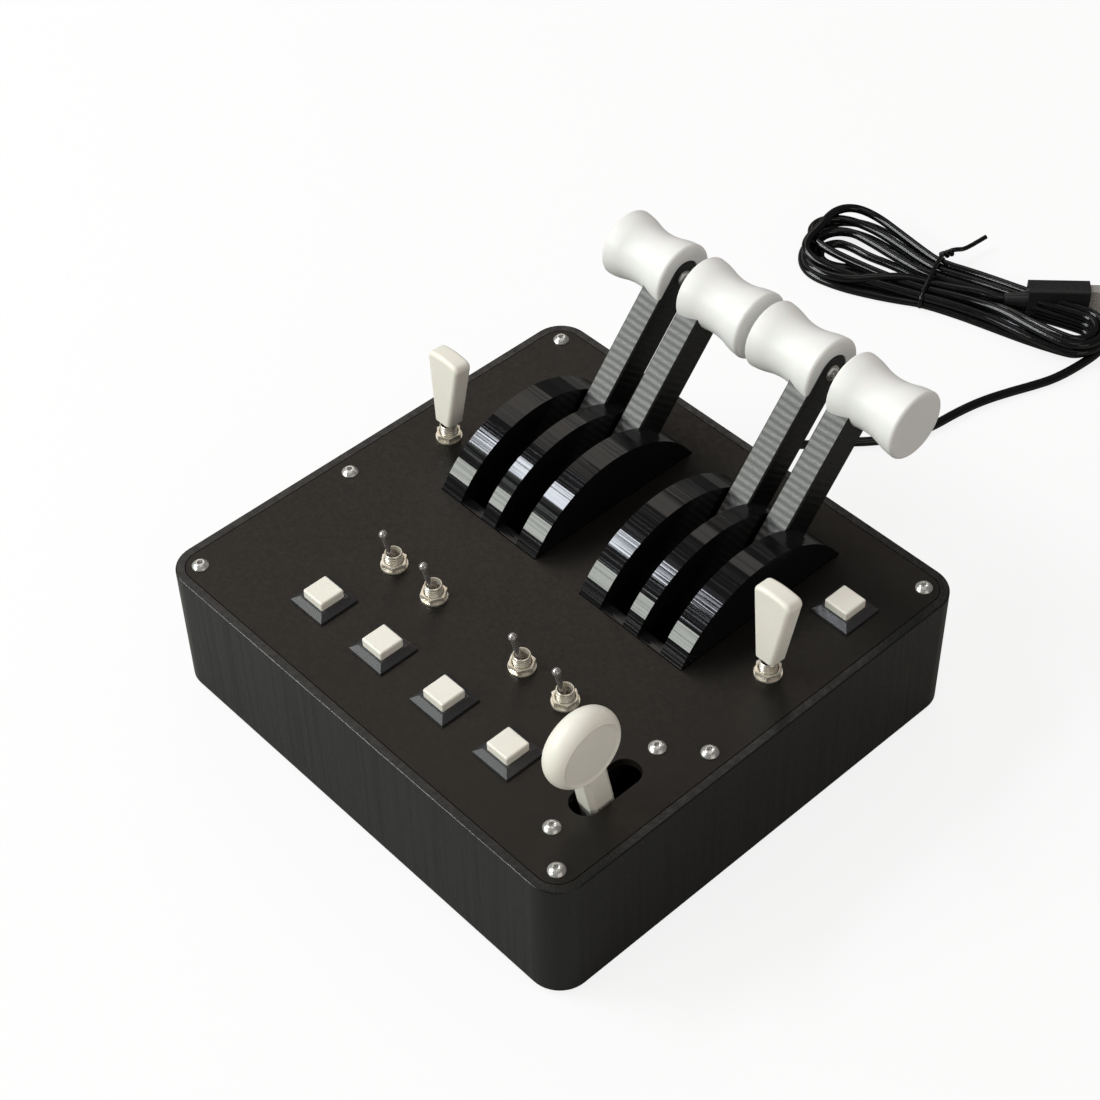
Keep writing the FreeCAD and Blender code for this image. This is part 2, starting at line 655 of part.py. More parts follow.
def make_insert():
    """Brass threaded insert, its top at the origin."""
    body = new_body("insert_master")
    ring = new_sketch(body)
    circle(ring, "0", "0", "insert_diameter")
    circle(ring, "0", "0", "screw_diameter + 2*seat_gap")
    pad(body, ring, "insert_length", reverse=True)
    return body


def make_fasteners():
    """Screws, inserts and feet that stay with the box."""
    copies("panel_screws", make_button_screw("panel_screw_master", "screw_length"),
           PANEL_SCREWS + BRACKET_SCREWS, PANEL_TOP)
    copies("board_screws", make_button_screw("board_screw_master", "board_screw_length"), BOARD_SCREWS,
           f"{FLOOR_TOP} + standoff_height + board_thickness")
    foot_screw = make_button_screw("guard_screw_master", "guard_screw_length")
    links = []
    for number, (x, y) in enumerate(guard_screw_places()):
        link = doc.addObject("App::Link", f"guard_screw_{number + 1}")
        link.LinkedObject = foot_screw
        links.append(place(link, x, y, "foot_proud + countersink_depth", X_AXIS, "180"))
    group("guard_screws", links)

    insert = make_insert()
    links = []
    places = [(x, y, PANEL_UNDER) for x, y in PANEL_SCREWS + BRACKET_SCREWS]
    places += [(x, y, f"{FLOOR_TOP} + insert_length") for x, y in guard_screw_places()]
    for number, (x, y, z) in enumerate(places):
        link = doc.addObject("App::Link", f"insert_{number + 1}")
        link.LinkedObject = insert
        links.append(place(link, x, y, z))
    group("threaded_inserts", links)

    foot = doc.addObject("Part::Cylinder", "foot_master")
    bind(foot, Radius="foot_diameter/2", Height="foot_proud + foot_recess")
    corners = [(sx, sy) for sx in (-1, 1) for sy in (-1, 1)]
    places = [(f"{sx}*(base_length/2 - foot_inset)", f"{sy}*(base_width/2 - foot_inset)") for sx, sy in corners]
    copies("rubber_feet", foot, places, "0")


# ---------------------------------------------------------------- lever units


def make_guard(name, side):
    """Three fins in one print: arcs above the panel, cheeks and a foot plate below. Drawn about the lever axis."""
    body = new_body(f"guard_{name}")
    place(body, unit_x(side), "pivot_y", PIVOT_Z)
    floor = f"-({PIVOT_Z} - {FLOOR_TOP})"
    plate = f"({floor} + guard_plate)"
    shoulder = "(pivot_depth - panel_thickness - shoulder_drop)"
    waist = f"({shoulder} - {FIN_CHORD} + cheek_half_depth)"
    half = [
        ("guard_foot_half", floor), ("guard_foot_half", plate), ("cheek_half_depth", plate),
        ("cheek_half_depth", waist), (FIN_CHORD, shoulder), (FIN_CHORD, "pivot_depth"),
    ]
    mirrored = [(f"-{y}", z) for y, z in reversed(half)]
    mirrored[0] += ("fin_radius", 1)
    profile = new_sketch(body, "YZ_Plane")
    outline(profile, half + mirrored)
    pad(body, profile, UNIT_WIDTH, symmetric=True)

    above = new_sketch(body, height="pivot_depth")
    below = new_sketch(body, height="pivot_depth")
    for sx in (-1, 1):
        rectangle(above, f"{sx}*{SLOT_CENTRE}", "0", "lever_slot_width", f"2*{FIN_CHORD} + 2*opening_gap")
        rectangle(below, f"{sx}*{SLOT_CENTRE}", "0", "lever_slot_width", f"2*({FIN_CHORD} - crossbar_depth)")
    pocket(body, above, reverse=True)
    pocket(body, below, f"pivot_depth - {plate}")

    bosses = new_sketch(body, height=floor)
    holes = new_sketch(body, height=floor)
    for sx in (-1, 1):
        for sy in (-1, 1):
            circle(bosses, f"{sx}*{GUARD_SCREW_X}", f"{sy}*guard_screw_y", "guard_boss_diameter")
            circle(holes, f"{sx}*{GUARD_SCREW_X}", f"{sy}*guard_screw_y", "insert_diameter + 2*seat_gap")
    pad(body, bosses, "guard_boss_height")
    pocket(body, holes, "insert_bore_depth", reverse=True)

    bores = (
        ("sensor_diameter + 2*seat_gap", "sensor_recess"),
        ("bushing_diameter + 2*seat_gap", "outer_fin_width"),
        ("pin_diameter + 2*running_gap", f"{UNIT_WIDTH}/2"),
    )
    for sx in (-1, 1):
        for diameter, depth in bores:
            bore = new_sketch(body, "YZ_Plane", height=f"{sx}*{UNIT_WIDTH}/2")
            circle(bore, "0", "0", diameter)
            pocket(body, bore, depth, reverse=sx < 0)
    return keep(body)


def sensor_solid(label, sx, recess_face):
    """Potentiometer whose bushing points inwards, with its bore for the shaft; the can backs onto recess_face."""
    body = new_body(label)
    steps = (
        ("sensor_diameter", recess_face, f"{sx}", "sensor_thickness"),
        ("bushing_diameter", recess_face, f"{-sx}", "bushing_length"),
    )
    for diameter, start, direction, length in steps:
        disc = new_sketch(body, "YZ_Plane", height=start)
        circle(disc, "0", "0", diameter)
        pad(body, disc, length, reverse=direction == "-1")
    bore = new_sketch(body, "YZ_Plane", height=f"{recess_face} - {sx}*bushing_length")
    circle(bore, "0", "0", "shaft_diameter + 2*running_gap")
    pocket(body, bore, "bushing_length + shaft_seat + seat_gap", reverse=sx > 0)
    tags = new_sketch(body, "YZ_Plane", height=f"{recess_face} + {sx}*(sensor_recess + terminal_thickness)")
    tag_length = "(terminal_length + sensor_diameter/4)"
    for number in (-1, 0, 1):
        middle = f"-(sensor_diameter/2 + terminal_length - {tag_length}/2)"
        rectangle(tags, f"{number}*terminal_pitch", middle, "terminal_width", tag_length)
    pad(body, tags, "terminal_thickness", reverse=sx < 0)
    return body


def make_sensors():
    """The four lever potentiometers, one outside each outer fin."""
    pieces = []
    for number, side, sx in LEVERS:
        face = f"{sx}*({UNIT_WIDTH}/2 - sensor_recess)"
        piece = sensor_solid(f"lever_sensor_{number}", sx, face)
        pieces.append(place(piece, unit_x(side), "pivot_y", PIVOT_Z))
    group("lever_sensors", pieces)


def shaft_outline(sketch, gap):
    """D-shaped section of a potentiometer shaft, or of its bore with a gap."""
    r, flat = f"(shaft_diameter/2 + {gap})", f"(shaft_flat + {gap})"
    half = f"sqrt({r}^2 - {flat}^2)"
    outline(sketch, [(half, flat, r, 1), (f"-{half}", flat), ("0", f"-{r}", r, 1)])


def shaft_solid(label, sx, inner, outer):
    """Potentiometer shaft along X between two distances from the lever's middle, with its flat in the lever."""
    body = new_body(label)
    section = new_sketch(body, "YZ_Plane", height=f"{sx}*{inner}")
    shaft_outline(section, "0")
    pad(body, section, f"{outer} - {inner}", reverse=sx < 0)
    return keep(body)


def lever_x(side, sx):
    return f"({unit_x(side)} + {sx}*{SLOT_CENTRE})"


def make_lever(number, side, sx):
    """Lever bar with a round foot, drawn upright about its axis and leant forward. sx is the knob's side."""
    body = new_body(f"lever_arm_{number}")
    place(body, lever_x(side, sx), "pivot_y", PIVOT_Z, -X_AXIS, "lever_lean")
    half = "lever_thickness/2"
    bar = new_sketch(body, "YZ_Plane")
    outline(bar, [(f"-{half}", "0"), (half, "0"), (half, "lever_length"), (f"-{half}", "lever_length", half, 1)])
    pad(body, bar, "lever_width", symmetric=True)
    dress(body, "Chamfer", "lever_chamfer",
          lambda edge: edge.BoundBox.XLength < 1e-4 and edge.BoundBox.ZMax > value("lever_length") - 1e-3)
    hub = new_sketch(body, "YZ_Plane")
    circle(hub, "0", "0", "lever_hub_diameter")
    pad(body, hub, "lever_width", symmetric=True)

    shaft_bore = new_sketch(body, "YZ_Plane", height=f"{sx}*lever_width/2")
    shaft_outline(shaft_bore, "running_gap")
    pocket(body, shaft_bore, "shaft_seat + seat_gap", reverse=sx < 0)
    pin_bore = new_sketch(body, "YZ_Plane", height=f"-{sx}*lever_width/2")
    circle(pin_bore, "0", "0", "pin_diameter + 2*running_gap")
    pocket(body, pin_bore, "pin_seat + seat_gap", reverse=sx > 0)
    bolt_hole = new_sketch(body, "YZ_Plane", height="lever_width/2")
    circle(bolt_hole, "0", "lever_length", "screw_diameter + 2*seat_gap")
    pocket(body, bolt_hole)
    return keep(body)


def make_knob(number, side, sx):
    """Turned knob with flared ends and a blind bore, notched at its inner end for the lever. Drawn with the lever."""
    body = new_body(f"lever_knob_{number}")
    place(body, lever_x(side, sx), "pivot_y", PIVOT_Z, -X_AXIS, "lever_lean")
    inner, outer = f"{-sx}*lever_width/2", f"{sx}*(knob_length - lever_width/2)"
    rise = "(knob_end_radius - knob_waist_radius)"
    curve = f"((knob_length/2)^2 + {rise}^2)/(4*{rise})"
    middle = "(knob_end_radius + knob_waist_radius)/2"
    near, far = [f"{sx}*(knob_length*{part} - lever_width/2)" for part in (0.25, 0.75)]
    turn = -sx
    bore, bore_end = "(screw_diameter/2 + seat_gap)", f"{sx}*(knob_bolt_length + seat_gap - lever_width/2)"
    profile = new_sketch(body, "XZ_Plane", up="lever_length")
    corners = [
        (inner, bore), (inner, "knob_end_radius"), (near, middle, curve, turn), (far, middle, curve, -turn),
        (outer, "knob_end_radius", curve, turn), (outer, "0"), (bore_end, "0"), (bore_end, bore),
    ]
    outline(profile, corners)
    revolve(body, profile)
    ends = [value(inner), value(outer)]
    dress(body, "Fillet", "knob_edge_fillet",
          lambda edge: edge.BoundBox.ZLength > value("knob_end_radius")
          and any(flat_at(edge, "X", end) for end in ends))

    half = "(lever_thickness/2 + seat_gap)"
    notch = new_sketch(body, "YZ_Plane", height=inner)
    outline(notch, [(f"-{half}", "0"), (half, "0"), (half, "lever_length"), (f"-{half}", "lever_length", half, 1)])
    pocket(body, notch, "lever_width + seat_gap", reverse=sx > 0)
    return keep(body)


def make_knob_bolt(number, side, sx):
    """Button-head bolt from the lever's free side into the knob."""
    body = make_button_screw(f"knob_bolt_{number}", "knob_bolt_length")
    x = f"{lever_x(side, sx)} - {sx}*lever_width/2"
    y, z = "pivot_y + lever_length*sin(lever_lean)", f"{PIVOT_Z} + lever_length*cos(lever_lean)"
    place(body, x, y, z, Vector(0, -sx, 0), "90")
    return keep(body)


def make_lever_units():
    for name, side in UNITS:
        make_guard(name, side)
    make_sensors()
    pins = []
    for name, side in UNITS:
        pin = doc.addObject("Part::Cylinder", f"pivot_pin_{name}")
        reach = f"({SLOT_CENTRE} - lever_width/2 + pin_seat)"
        bind(pin, Radius="pin_diameter/2", Height=f"2*{reach}")
        pins.append(place(pin, f"{unit_x(side)} - {reach}", "pivot_y", PIVOT_Z, Y_AXIS, "90"))
    group("pivot_pins", pins)
    for number, side, sx in LEVERS:
        make_lever(number, side, sx)
        make_knob(number, side, sx)
        make_knob_bolt(number, side, sx)
        inner = "(lever_width/2 - shaft_seat)"
        outer = f"(lever_width/2 + {SLOT_GAP} + outer_fin_width - sensor_recess + shaft_seat)"
        shaft = shaft_solid(f"sensor_shaft_{number}", sx, inner, outer)
        place(shaft, lever_x(side, sx), "pivot_y", PIVOT_Z, -X_AXIS, "lever_lean")


# ---------------------------------------------------------------- toggle switches and paddles


def make_toggle_parts():
    """Bodies, threaded bushings, washers and nuts of the six toggle switches, each drawn about its pivot ball."""
    bush = new_body("bush_master")
    profile = new_sketch(bush, "XZ_Plane")
    bore, mouth, throat = "(bat_ball_radius + running_gap)", "bush_mouth_diameter/2", "(bat_ball_radius + 0.4)"
    outline(
        profile,
        [
            (bore, f"-{throat}"), ("bush_diameter/2", f"-{throat}"), ("bush_diameter/2", "bush_height"),
            (mouth, "bush_height"), (bore, throat),
        ],
    )
    revolve(bush, profile, "V_Axis")
    foot = new_sketch(bush, height=f"-{throat}")
    circle(foot, "0", "0", "bush_diameter")
    pad(bush, foot, f"panel_thickness - {throat}", reverse=True)
    copies("toggle_bushings", bush, SWITCHES, PANEL_TOP)

    washer = new_body("washer_master")
    ring = new_sketch(washer)
    circle(ring, "0", "0", "washer_diameter")
    circle(ring, "0", "0", "bush_diameter + 2*seat_gap")
    pad(washer, ring, "washer_thickness")
    copies("toggle_washers", washer, SWITCHES, PANEL_TOP)

    nut = new_body("nut_master")
    ring = new_sketch(nut)
    hexagon(ring, "nut_across_flats")
    circle(ring, "0", "0", "bush_diameter + 2*seat_gap")
    pad(nut, ring, "nut_height")
    copies("toggle_nuts", nut, SWITCHES, f"{PANEL_TOP} + washer_thickness", NUT_TURNS)

    switch = new_body("switch_master")
    block = new_sketch(switch)
    rectangle(block, "0", "0", "switch_width", "switch_length")
    pad(switch, block, "switch_depth", reverse=True)
    tags = new_sketch(switch, height="-switch_depth")
    for number in (-1, 0, 1):
        rectangle(tags, "0", f"{number}*switch_length/3", "switch_width/4", "switch_length/12")
    pad(switch, tags, "terminal_length", reverse=True)
    copies("toggle_housings", switch, SWITCHES, PANEL_UNDER)


def make_bat(label, x, y, axis, lean):
    """Toggle bat: pivot ball, tapered stem and round tip."""
    body = new_body(label)
    place(body, x, y, PANEL_TOP, axis, lean)
    profile = new_sketch(body, "XZ_Plane")
    neck_up = "sqrt(bat_ball_radius^2 - bat_neck_radius^2)"
    tip_down = "(bat_length - sqrt(bat_tip_radius^2 - bat_top_radius^2))"
    outline(
        profile,
        [
            ("0", "-bat_ball_radius"), ("bat_neck_radius", neck_up, "bat_ball_radius", 1),
            ("bat_top_radius", tip_down), ("0", "bat_length + bat_tip_radius", "bat_tip_radius", 1),
        ],
    )
    revolve(body, profile, "V_Axis")
    return keep(body)


def make_paddle_cap(name, x):
    """Keystone cap pushed onto a toggle bat, broad side to the user, with rounded edges."""
    body = new_body(f"paddle_cap_{name}")
    place(body, x, "paddle_y", PANEL_TOP, -X_AXIS, "paddle_lean")
    foot, top = "paddle_foot_width/2", "paddle_top_width/2"
    end = "(paddle_start + paddle_height)"
    profile = new_sketch(body, "XZ_Plane")
    corners = [(f"-{foot}", "paddle_start"), (foot, "paddle_start"), (top, end), (f"-{top}", end, "paddle_crown", 1)]
    outline(profile, corners)
    pad(body, profile, "paddle_thickness", symmetric=True)
    dress(body, "Fillet", "paddle_corner",
          lambda edge: edge.BoundBox.XLength < 1e-4 and edge.BoundBox.ZMin > value("paddle_start") + 1)
    dress(body, "Fillet", "paddle_fillet", lambda edge: edge.BoundBox.ZMax > value("paddle_start") + 1e-3)
    bore = new_sketch(body, height="paddle_start")
    circle(bore, "0", "0", "2*bat_tip_radius + 2*seat_gap")
    pocket(body, bore, "bat_length + bat_tip_radius - paddle_start + seat_gap", reverse=True)
    return keep(body)


def make_toggles():
    make_toggle_parts()
    for number, x in TOGGLES:
        make_bat(f"toggle_bat_{number}", x, "toggle_y", X_AXIS, "toggle_lean")
    for name, x in PADDLES:
        make_bat(f"paddle_bat_{name}", x, "paddle_y", -X_AXIS, "paddle_lean")
        make_paddle_cap(name, x)


# ---------------------------------------------------------------- push buttons


def square_step(body, size, height):
    sketch = new_sketch(body, height=height)
    rectangle(sketch, "0", "0", size, size)
    return sketch


def make_buttons():
    """Bezel with its square barrel, switch body under it, and the sprung cap that slides in the barrel."""
    bezel = new_body("bezel_master")
    pad(bezel, square_step(bezel, "bezel_size", "0"), "bezel_lip")
    slope = bezel.newObject("PartDesign::AdditiveLoft", "Slope")
    slope.Profile = square_step(bezel, "bezel_size", "bezel_lip")
    slope.Sections = [square_step(bezel, "bezel_top_size", "bezel_height")]
    slope.Ruled = True
    doc.recompute()
    pad(bezel, square_step(bezel, "barrel_size", "0"), "barrel_depth", reverse=True)
    pocket(bezel, square_step(bezel, "cap_size + 2*cap_gap", "bezel_height"))
    copies("button_bezels", bezel, [(x, y) for name, x, y in BUTTONS], PANEL_TOP)

    switch = new_body("button_switch_master")
    pad(switch, square_step(switch, "barrel_size", "0"), "button_body_depth", reverse=True)
    tags = new_sketch(switch, height="-button_body_depth")
    for sx in (-1, 1):
        rectangle(tags, f"{sx}*barrel_size/4", "0", "barrel_size/16", "barrel_size/5")
    pad(switch, tags, "terminal_length", reverse=True)
    places = [(x, y) for name, x, y in BUTTONS]
    copies("button_housings", switch, places, f"{PANEL_TOP} - barrel_depth")

    for name, x, y in BUTTONS:
        cap = new_body(f"button_cap_{name}")
        place(cap, x, y, PANEL_TOP)
        pad(cap, square_step(cap, "cap_size", "-cap_depth"), "cap_depth + cap_height")
        dress(cap, "Fillet", "cap_fillet",
              lambda edge: upright(edge) or flat_at(edge, "Z", value("cap_height")))
        keep(cap)


# ---------------------------------------------------------------- disc lever


def make_flap_bracket():
    """Hanging bracket of the disc lever: a frame under the panel and two cheeks, drawn about the lever's axis."""
    body = new_body("flap_bracket")
    place(body, FLAP_X, "flap_y", FLAP_Z)
    top = "(flap_pivot_depth - panel_thickness)"
    inner = "(stem_width/2 + bracket_gap)"
    outer = f"({inner} + bracket_cheek)"
    frame = new_sketch(body, height=top)
    rectangle(frame, "0", "0", f"2*{outer}", "2*(bracket_screw_y + bracket_end)")
    rectangle(frame, "0", "0", f"2*{inner}", "2*bracket_well")
    pad(body, frame, "bracket_frame", reverse=True)
    cheeks = new_sketch(body, "YZ_Plane", height="0")
    half, foot = "bracket_cheek_half", "-bracket_cheek_half/2"
    outline(cheeks, [(f"-{half}", foot), (half, foot, "bracket_cheek_half*1.2", 1), (half, top), (f"-{half}", top)])
    pad(body, cheeks, f"2*{outer}", symmetric=True)
    gap = new_sketch(body, height=top)
    rectangle(gap, "0", "0", f"2*{inner}", "2*bracket_well")
    pocket(body, gap)
    holes = new_sketch(body, height=top)
    for sy in (-1, 1):
        circle(holes, "0", f"{sy}*bracket_screw_y", "insert_diameter + 2*seat_gap")
    pocket(body, holes)
    bores = ((-1, "bushing_diameter + 2*seat_gap"), (1, "pin_diameter + 2*seat_gap"))
    for sx, diameter in bores:
        bore = new_sketch(body, "YZ_Plane", height=f"{sx}*{outer}")
        circle(bore, "0", "0", diameter)
        pocket(body, bore, "bracket_cheek", reverse=sx < 0)
    return keep(body)


def make_flap_lever():
    """Disc-headed lever: crowned disc with dished faces on a chamfered stem and a round foot."""
    body = new_body("flap_lever")
    place(body, FLAP_X, "flap_y", FLAP_Z, X_AXIS, "flap_lean")
    w, t, c = "stem_width/2", "stem_thickness/2", "stem_chamfer"
    stem = new_sketch(body)
    corners = [
        (w, f"{c} - {t}"), (w, f"{t} - {c}"), (f"{w} - {c}", t), (f"{c} - {w}", t),
        (f"-{w}", f"{t} - {c}"), (f"-{w}", f"{c} - {t}"), (f"{c} - {w}", f"-{t}"), (f"{w} - {c}", f"-{t}"),
    ]
    outline(stem, corners)
    pad(body, stem, "flap_reach - disc_face_radius/2")

    hub = new_sketch(body, "YZ_Plane")
    circle(hub, "0", "0", "flap_hub_diameter")
    pad(body, hub, "stem_width", symmetric=True)

    half = "disc_thickness/2"
    rise = "(disc_radius - disc_face_radius)"
    crown = f"(({half})^2 + {rise}^2)/(2*{rise})"
    profile = new_sketch(body, "XZ_Plane", up="flap_reach")
    dish = f"({half} - disc_dish)"
    outline(
        profile,
        [
            (f"-{dish}", "0"), (dish, "0"), (dish, "disc_dish_radius"), (half, "disc_face_radius"),
            (f"-{half}", "disc_face_radius", crown, 1), (f"-{dish}", "disc_dish_radius"),
        ],
    )
    revolve(body, profile)

    shaft_bore = new_sketch(body, "YZ_Plane", height="-stem_width/2")
    shaft_outline(shaft_bore, "running_gap")
    pocket(body, shaft_bore, "shaft_seat + seat_gap", reverse=True)
    pin_bore = new_sketch(body, "YZ_Plane", height="stem_width/2")
    circle(pin_bore, "0", "0", "pin_diameter + 2*running_gap")
    pocket(body, pin_bore, "pin_seat + seat_gap")
    return keep(body)


def make_flap():
    make_flap_bracket()
    make_flap_lever()
    outer = "(stem_width/2 + bracket_gap + bracket_cheek)"
    sensor = sensor_solid("flap_sensor", -1, f"-{outer}")
    keep(place(sensor, FLAP_X, "flap_y", FLAP_Z))
    shaft = shaft_solid("flap_shaft", -1, "(stem_width/2 - shaft_seat)", f"({outer} + shaft_seat)")
    place(shaft, FLAP_X, "flap_y", FLAP_Z, X_AXIS, "flap_lean")
    pin = doc.addObject("Part::Cylinder", "flap_pin")
    pin.Label = "flap_pin"
    bind(pin, Radius="pin_diameter/2", Height="pin_seat + bracket_gap + bracket_cheek")
    keep(place(pin, f"{FLAP_X} + stem_width/2 - pin_seat", "flap_y", FLAP_Z, Y_AXIS, "90"))


# ---------------------------------------------------------------- electronics and cord


def make_board():
    """Controller board on its standoffs, with its processor, pin headers and USB socket."""
    body = new_body("controller_board")
    place(body, y="board_y", z=f"{FLOOR_TOP} + standoff_height")
    blank = new_sketch(body)
    rectangle(blank, "0", "0", "board_length", "board_width")
    pad(body, blank, "board_thickness")
    holes = new_sketch(body, height="board_thickness")
    for x, y in BOARD_SCREWS:
        circle(holes, x, f"{y} - board_y", "screw_hole_diameter")
    pocket(body, holes)
    keep(body)

    parts = (
        ("processor", "-board_length/10", "-board_width/10", "processor_size", "processor_size", "processor_height"),
        ("header_front", "0", "-board_width*0.42", "board_length*0.6", "header_width", "header_height"),
        ("header_back", "-board_length*0.12", "board_width*0.42", "board_length*0.4", "header_width", "header_height"),
        ("usb_socket", "board_length*0.28", "board_width*0.36", "usb_socket_size", "usb_socket_size", "usb_socket_height"),
    )
    pieces = []
    for name, x, y, width, depth, height in parts:
        block = doc.addObject("Part::Box", name)
        bind(block, Length=width, Width=depth, Height=height)
        z = f"{FLOOR_TOP} + standoff_height + board_thickness"
        pieces.append(place(block, f"{x} - {width}/2", f"board_y + {y} - {depth}/2", z))
    group("board_components", pieces)


def make_gland():
    """Strain relief: inner collar, barrel in the wall, flange and tapered boot, turned about the cord's axis."""
    body = new_body("cable_gland")
    place(body, "exit_x", "base_width/2", "exit_height")
    profile = new_sketch(body)
    barrel, flange, boot = "gland_diameter/2", "gland_flange_diameter/2", "boot_end_diameter/2"
    inside = "-(wall_thickness + seat_gap)"
    end = "(gland_flange + boot_length)"
    outline(
        profile,
        [
            ("0", f"{inside} - gland_flange"), (flange, f"{inside} - gland_flange"), (flange, inside),
            (barrel, inside), (barrel, "0"), (flange, "0"), (flange, "gland_flange"),
            ("gland_diameter*0.45", "gland_flange"), (boot, end), ("0", end),
        ],
    )
    revolve(body, profile, "V_Axis")
    return keep(body)


def tangent_path(points):
    """Straight runs joined by tangent arcs, each as large as its two runs allow."""
    edges = []
    start = points[0]
    for before, corner, after in zip(points, points[1:], points[2:]):
        arriving, leaving = corner - before, after - corner
        turn = arriving.getAngle(leaving)
        cut = 0.45 * min(arriving.Length, leaving.Length)
        radius = cut / math.tan(turn / 2)
        first = corner - arriving.normalize() * cut
        last = corner + leaving.normalize() * cut
        inward = (leaving - arriving).normalize()
        crown = corner + inward * (radius / math.cos(turn / 2) - radius)
        edges.append(Part.LineSegment(start, first).toShape())
        edges.append(Part.Arc(first, crown, last).toShape())
        print(f"cord bend radius {radius:.1f} mm")
        start = last
    edges.append(Part.LineSegment(start, points[-1]).toShape())
    return Part.Wire(edges)


def make_cord():
    """Free cord from the boot to the hank, on the desk all the way but for its drop."""
    exit_point = Vector(value("exit_x"), value("base_width/2 + gland_flange + boot_length"), value("exit_height"))
    points = [exit_point] + [Vector(*point) for point in CORD_ROUTE]
    path = tangent_path(points)
    section = Part.Wire(Part.makeCircle(value("cord_diameter") / 2, exit_point, Y_AXIS))
    tube = path.makePipeShell([section], True, True)
    expected = path.Length * math.pi * value("cord_diameter") ** 2 / 4
    print(f"cord tube {path.Length:.1f} mm, volume over expected {tube.Volume / expected:.4f}")
    cord = doc.addObject("Part::Feature", "usb_cable")
    cord.Label = "usb_cable"
    cord.Shape = tube
    return keep(cord)


def make_hank():
    """Outer shape of the tied hank, with the cable tie sunk into it."""
    loop = Part.BSplineCurve()
    loop.interpolate([Vector(x, y, 0) for x, y in HANK_OUTLINE], PeriodicFlag=True)
    block = doc.addObject("Part::Feature", "hank_block")
    block.Shape = Part.Face(Part.Wire(loop.toShape())).extrude(Vector(0, 0, value("hank_height")))

    heading = Rotation(Z_AXIS, TIE_HEADING)
    centre = Vector(*TIE_CENTRE, 0)
    boxes = []
    for name, grow in (("tie_outside", "0"), ("tie_inside", "tie_thickness")):
        box = doc.addObject("Part::Box", name)
        span, height = f"(tie_span - 2*{grow})", f"(hank_height + tie_thickness - 2*{grow})"
        width = "tie_width" if grow == "0" else "3*tie_width"
        bind(box, Length=span, Width=width, Height=height)
        corner = Vector(-value(span) / 2, -value(width) / 2, value(grow))
        box.Placement = Placement(centre + heading.multVec(corner), heading)
        boxes.append(box)
    loop = doc.addObject("Part::Cut", "tie_loop")
    loop.Base, loop.Tool = boxes
    far = centre + heading.multVec(Vector(value("tie_span") / 2, 0, 0))
    head = doc.addObject("Part::Box", "tie_head")
    bind(head, Length="tie_head_size", Width="tie_head_size", Height="tie_head_size")
    size = value("tie_head_size")
    rise = (value("hank_height") + value("tie_thickness") - size) / 2
    head.Placement = Placement(far + heading.multVec(Vector(-0.2, -size / 2, rise)), heading)
    tail = doc.addObject("Part::Cylinder", "tie_tail")
    bind(tail, Radius="tie_thickness/2", Height="tie_tail_length")
    tail.Placement = Placement(far + Vector(0, 0, value("tie_tail_height")), Rotation(Z_AXIS, Vector(0, 1, 0)))
    tie = doc.addObject("Part::MultiFuse", "cable_tie")
    tie.Label = "cable_tie"
    tie.Shapes = [loop, head, tail]
    doc.recompute()
    keep(tie)
    hank = doc.addObject("Part::Cut", "usb_hank")
    hank.Label = "usb_hank"
    hank.Base, hank.Tool = block, tie
    doc.recompute()
    return keep(hank)


def make_plug():
    """USB-A plug standing on its edge: grip with a tapered tail, and the folded sheet shell. Drawn along X."""
    grip = new_body("usb_plug_grip")
    middle = "plug_height/2"
    place(grip, str(PLUG_START[0]), str(PLUG_START[1]), middle, Z_AXIS, str(PLUG_HEADING))
    face = new_sketch(grip, "YZ_Plane")
    rectangle(face, "0", "0", "plug_thickness", "plug_height")
    pad(grip, face, "plug_length")
    dress(grip, "Fillet", "plug_fillet", lambda edge: edge.BoundBox.XLength > value("plug_length") / 2)
    tail = new_sketch(grip)
    root, tip = "plug_thickness*0.42", "cord_diameter*0.62"
    reach = "-plug_tail_length"
    outline(tail, [(reach, "0"), ("plug_fillet", "0"), ("plug_fillet", root), ("0", root), (reach, tip)])
    revolve(grip, tail)
    keep(grip)

    shell = new_body("usb_plug_shell")
    place(shell, str(PLUG_START[0]), str(PLUG_START[1]), middle, Z_AXIS, str(PLUG_HEADING))
    face = new_sketch(shell, "YZ_Plane", height="plug_length")
    rectangle(face, "0", "0", "shell_thickness", "shell_height")
    pad(shell, face, "shell_length")
    hollow = new_sketch(shell, "YZ_Plane", height="plug_length + shell_length")
    half, wall = "shell_thickness/2", "shell_wall"
    rectangle(hollow, "0", "0", "shell_thickness - 2*shell_wall", "shell_height - 2*shell_wall")
    pocket(shell, hollow, "shell_length - shell_wall")
    tongue = new_sketch(shell, "YZ_Plane", height="plug_length")
    outline(
        tongue,
        [
            (f"{wall} - {half}", f"{wall} - shell_height/2"), ("0", f"{wall} - shell_height/2"),
            ("0", f"shell_height/2 - {wall}"), (f"{wall} - {half}", f"shell_height/2 - {wall}"),
        ],
    )
    pad(shell, tongue, "shell_length - 2*shell_wall")
    keep(shell)


# ---------------------------------------------------------------- build, check and write


def check_document():
    """Stop if any feature failed or any piece is unsound."""
    doc.recompute()
    for item in doc.Objects:
        if "Invalid" in item.State or "Error" in item.State:
            raise RuntimeError(f"{item.Name} of {item.Label} failed")
    for node in nodes:
        if node.Shape.isNull() or not node.Shape.isValid() or not node.Shape.Solids:
            raise RuntimeError(f"{node.Label} is not a sound solid")


def write_parts():
    os.makedirs("parts", exist_ok=True)
    for node in nodes:
        node.Shape.exportStep(f"parts/{node.Label}.step")
    print(f"wrote {len(nodes)} nodes, {sum(len(node.Shape.Solids) for node in nodes)} solids")


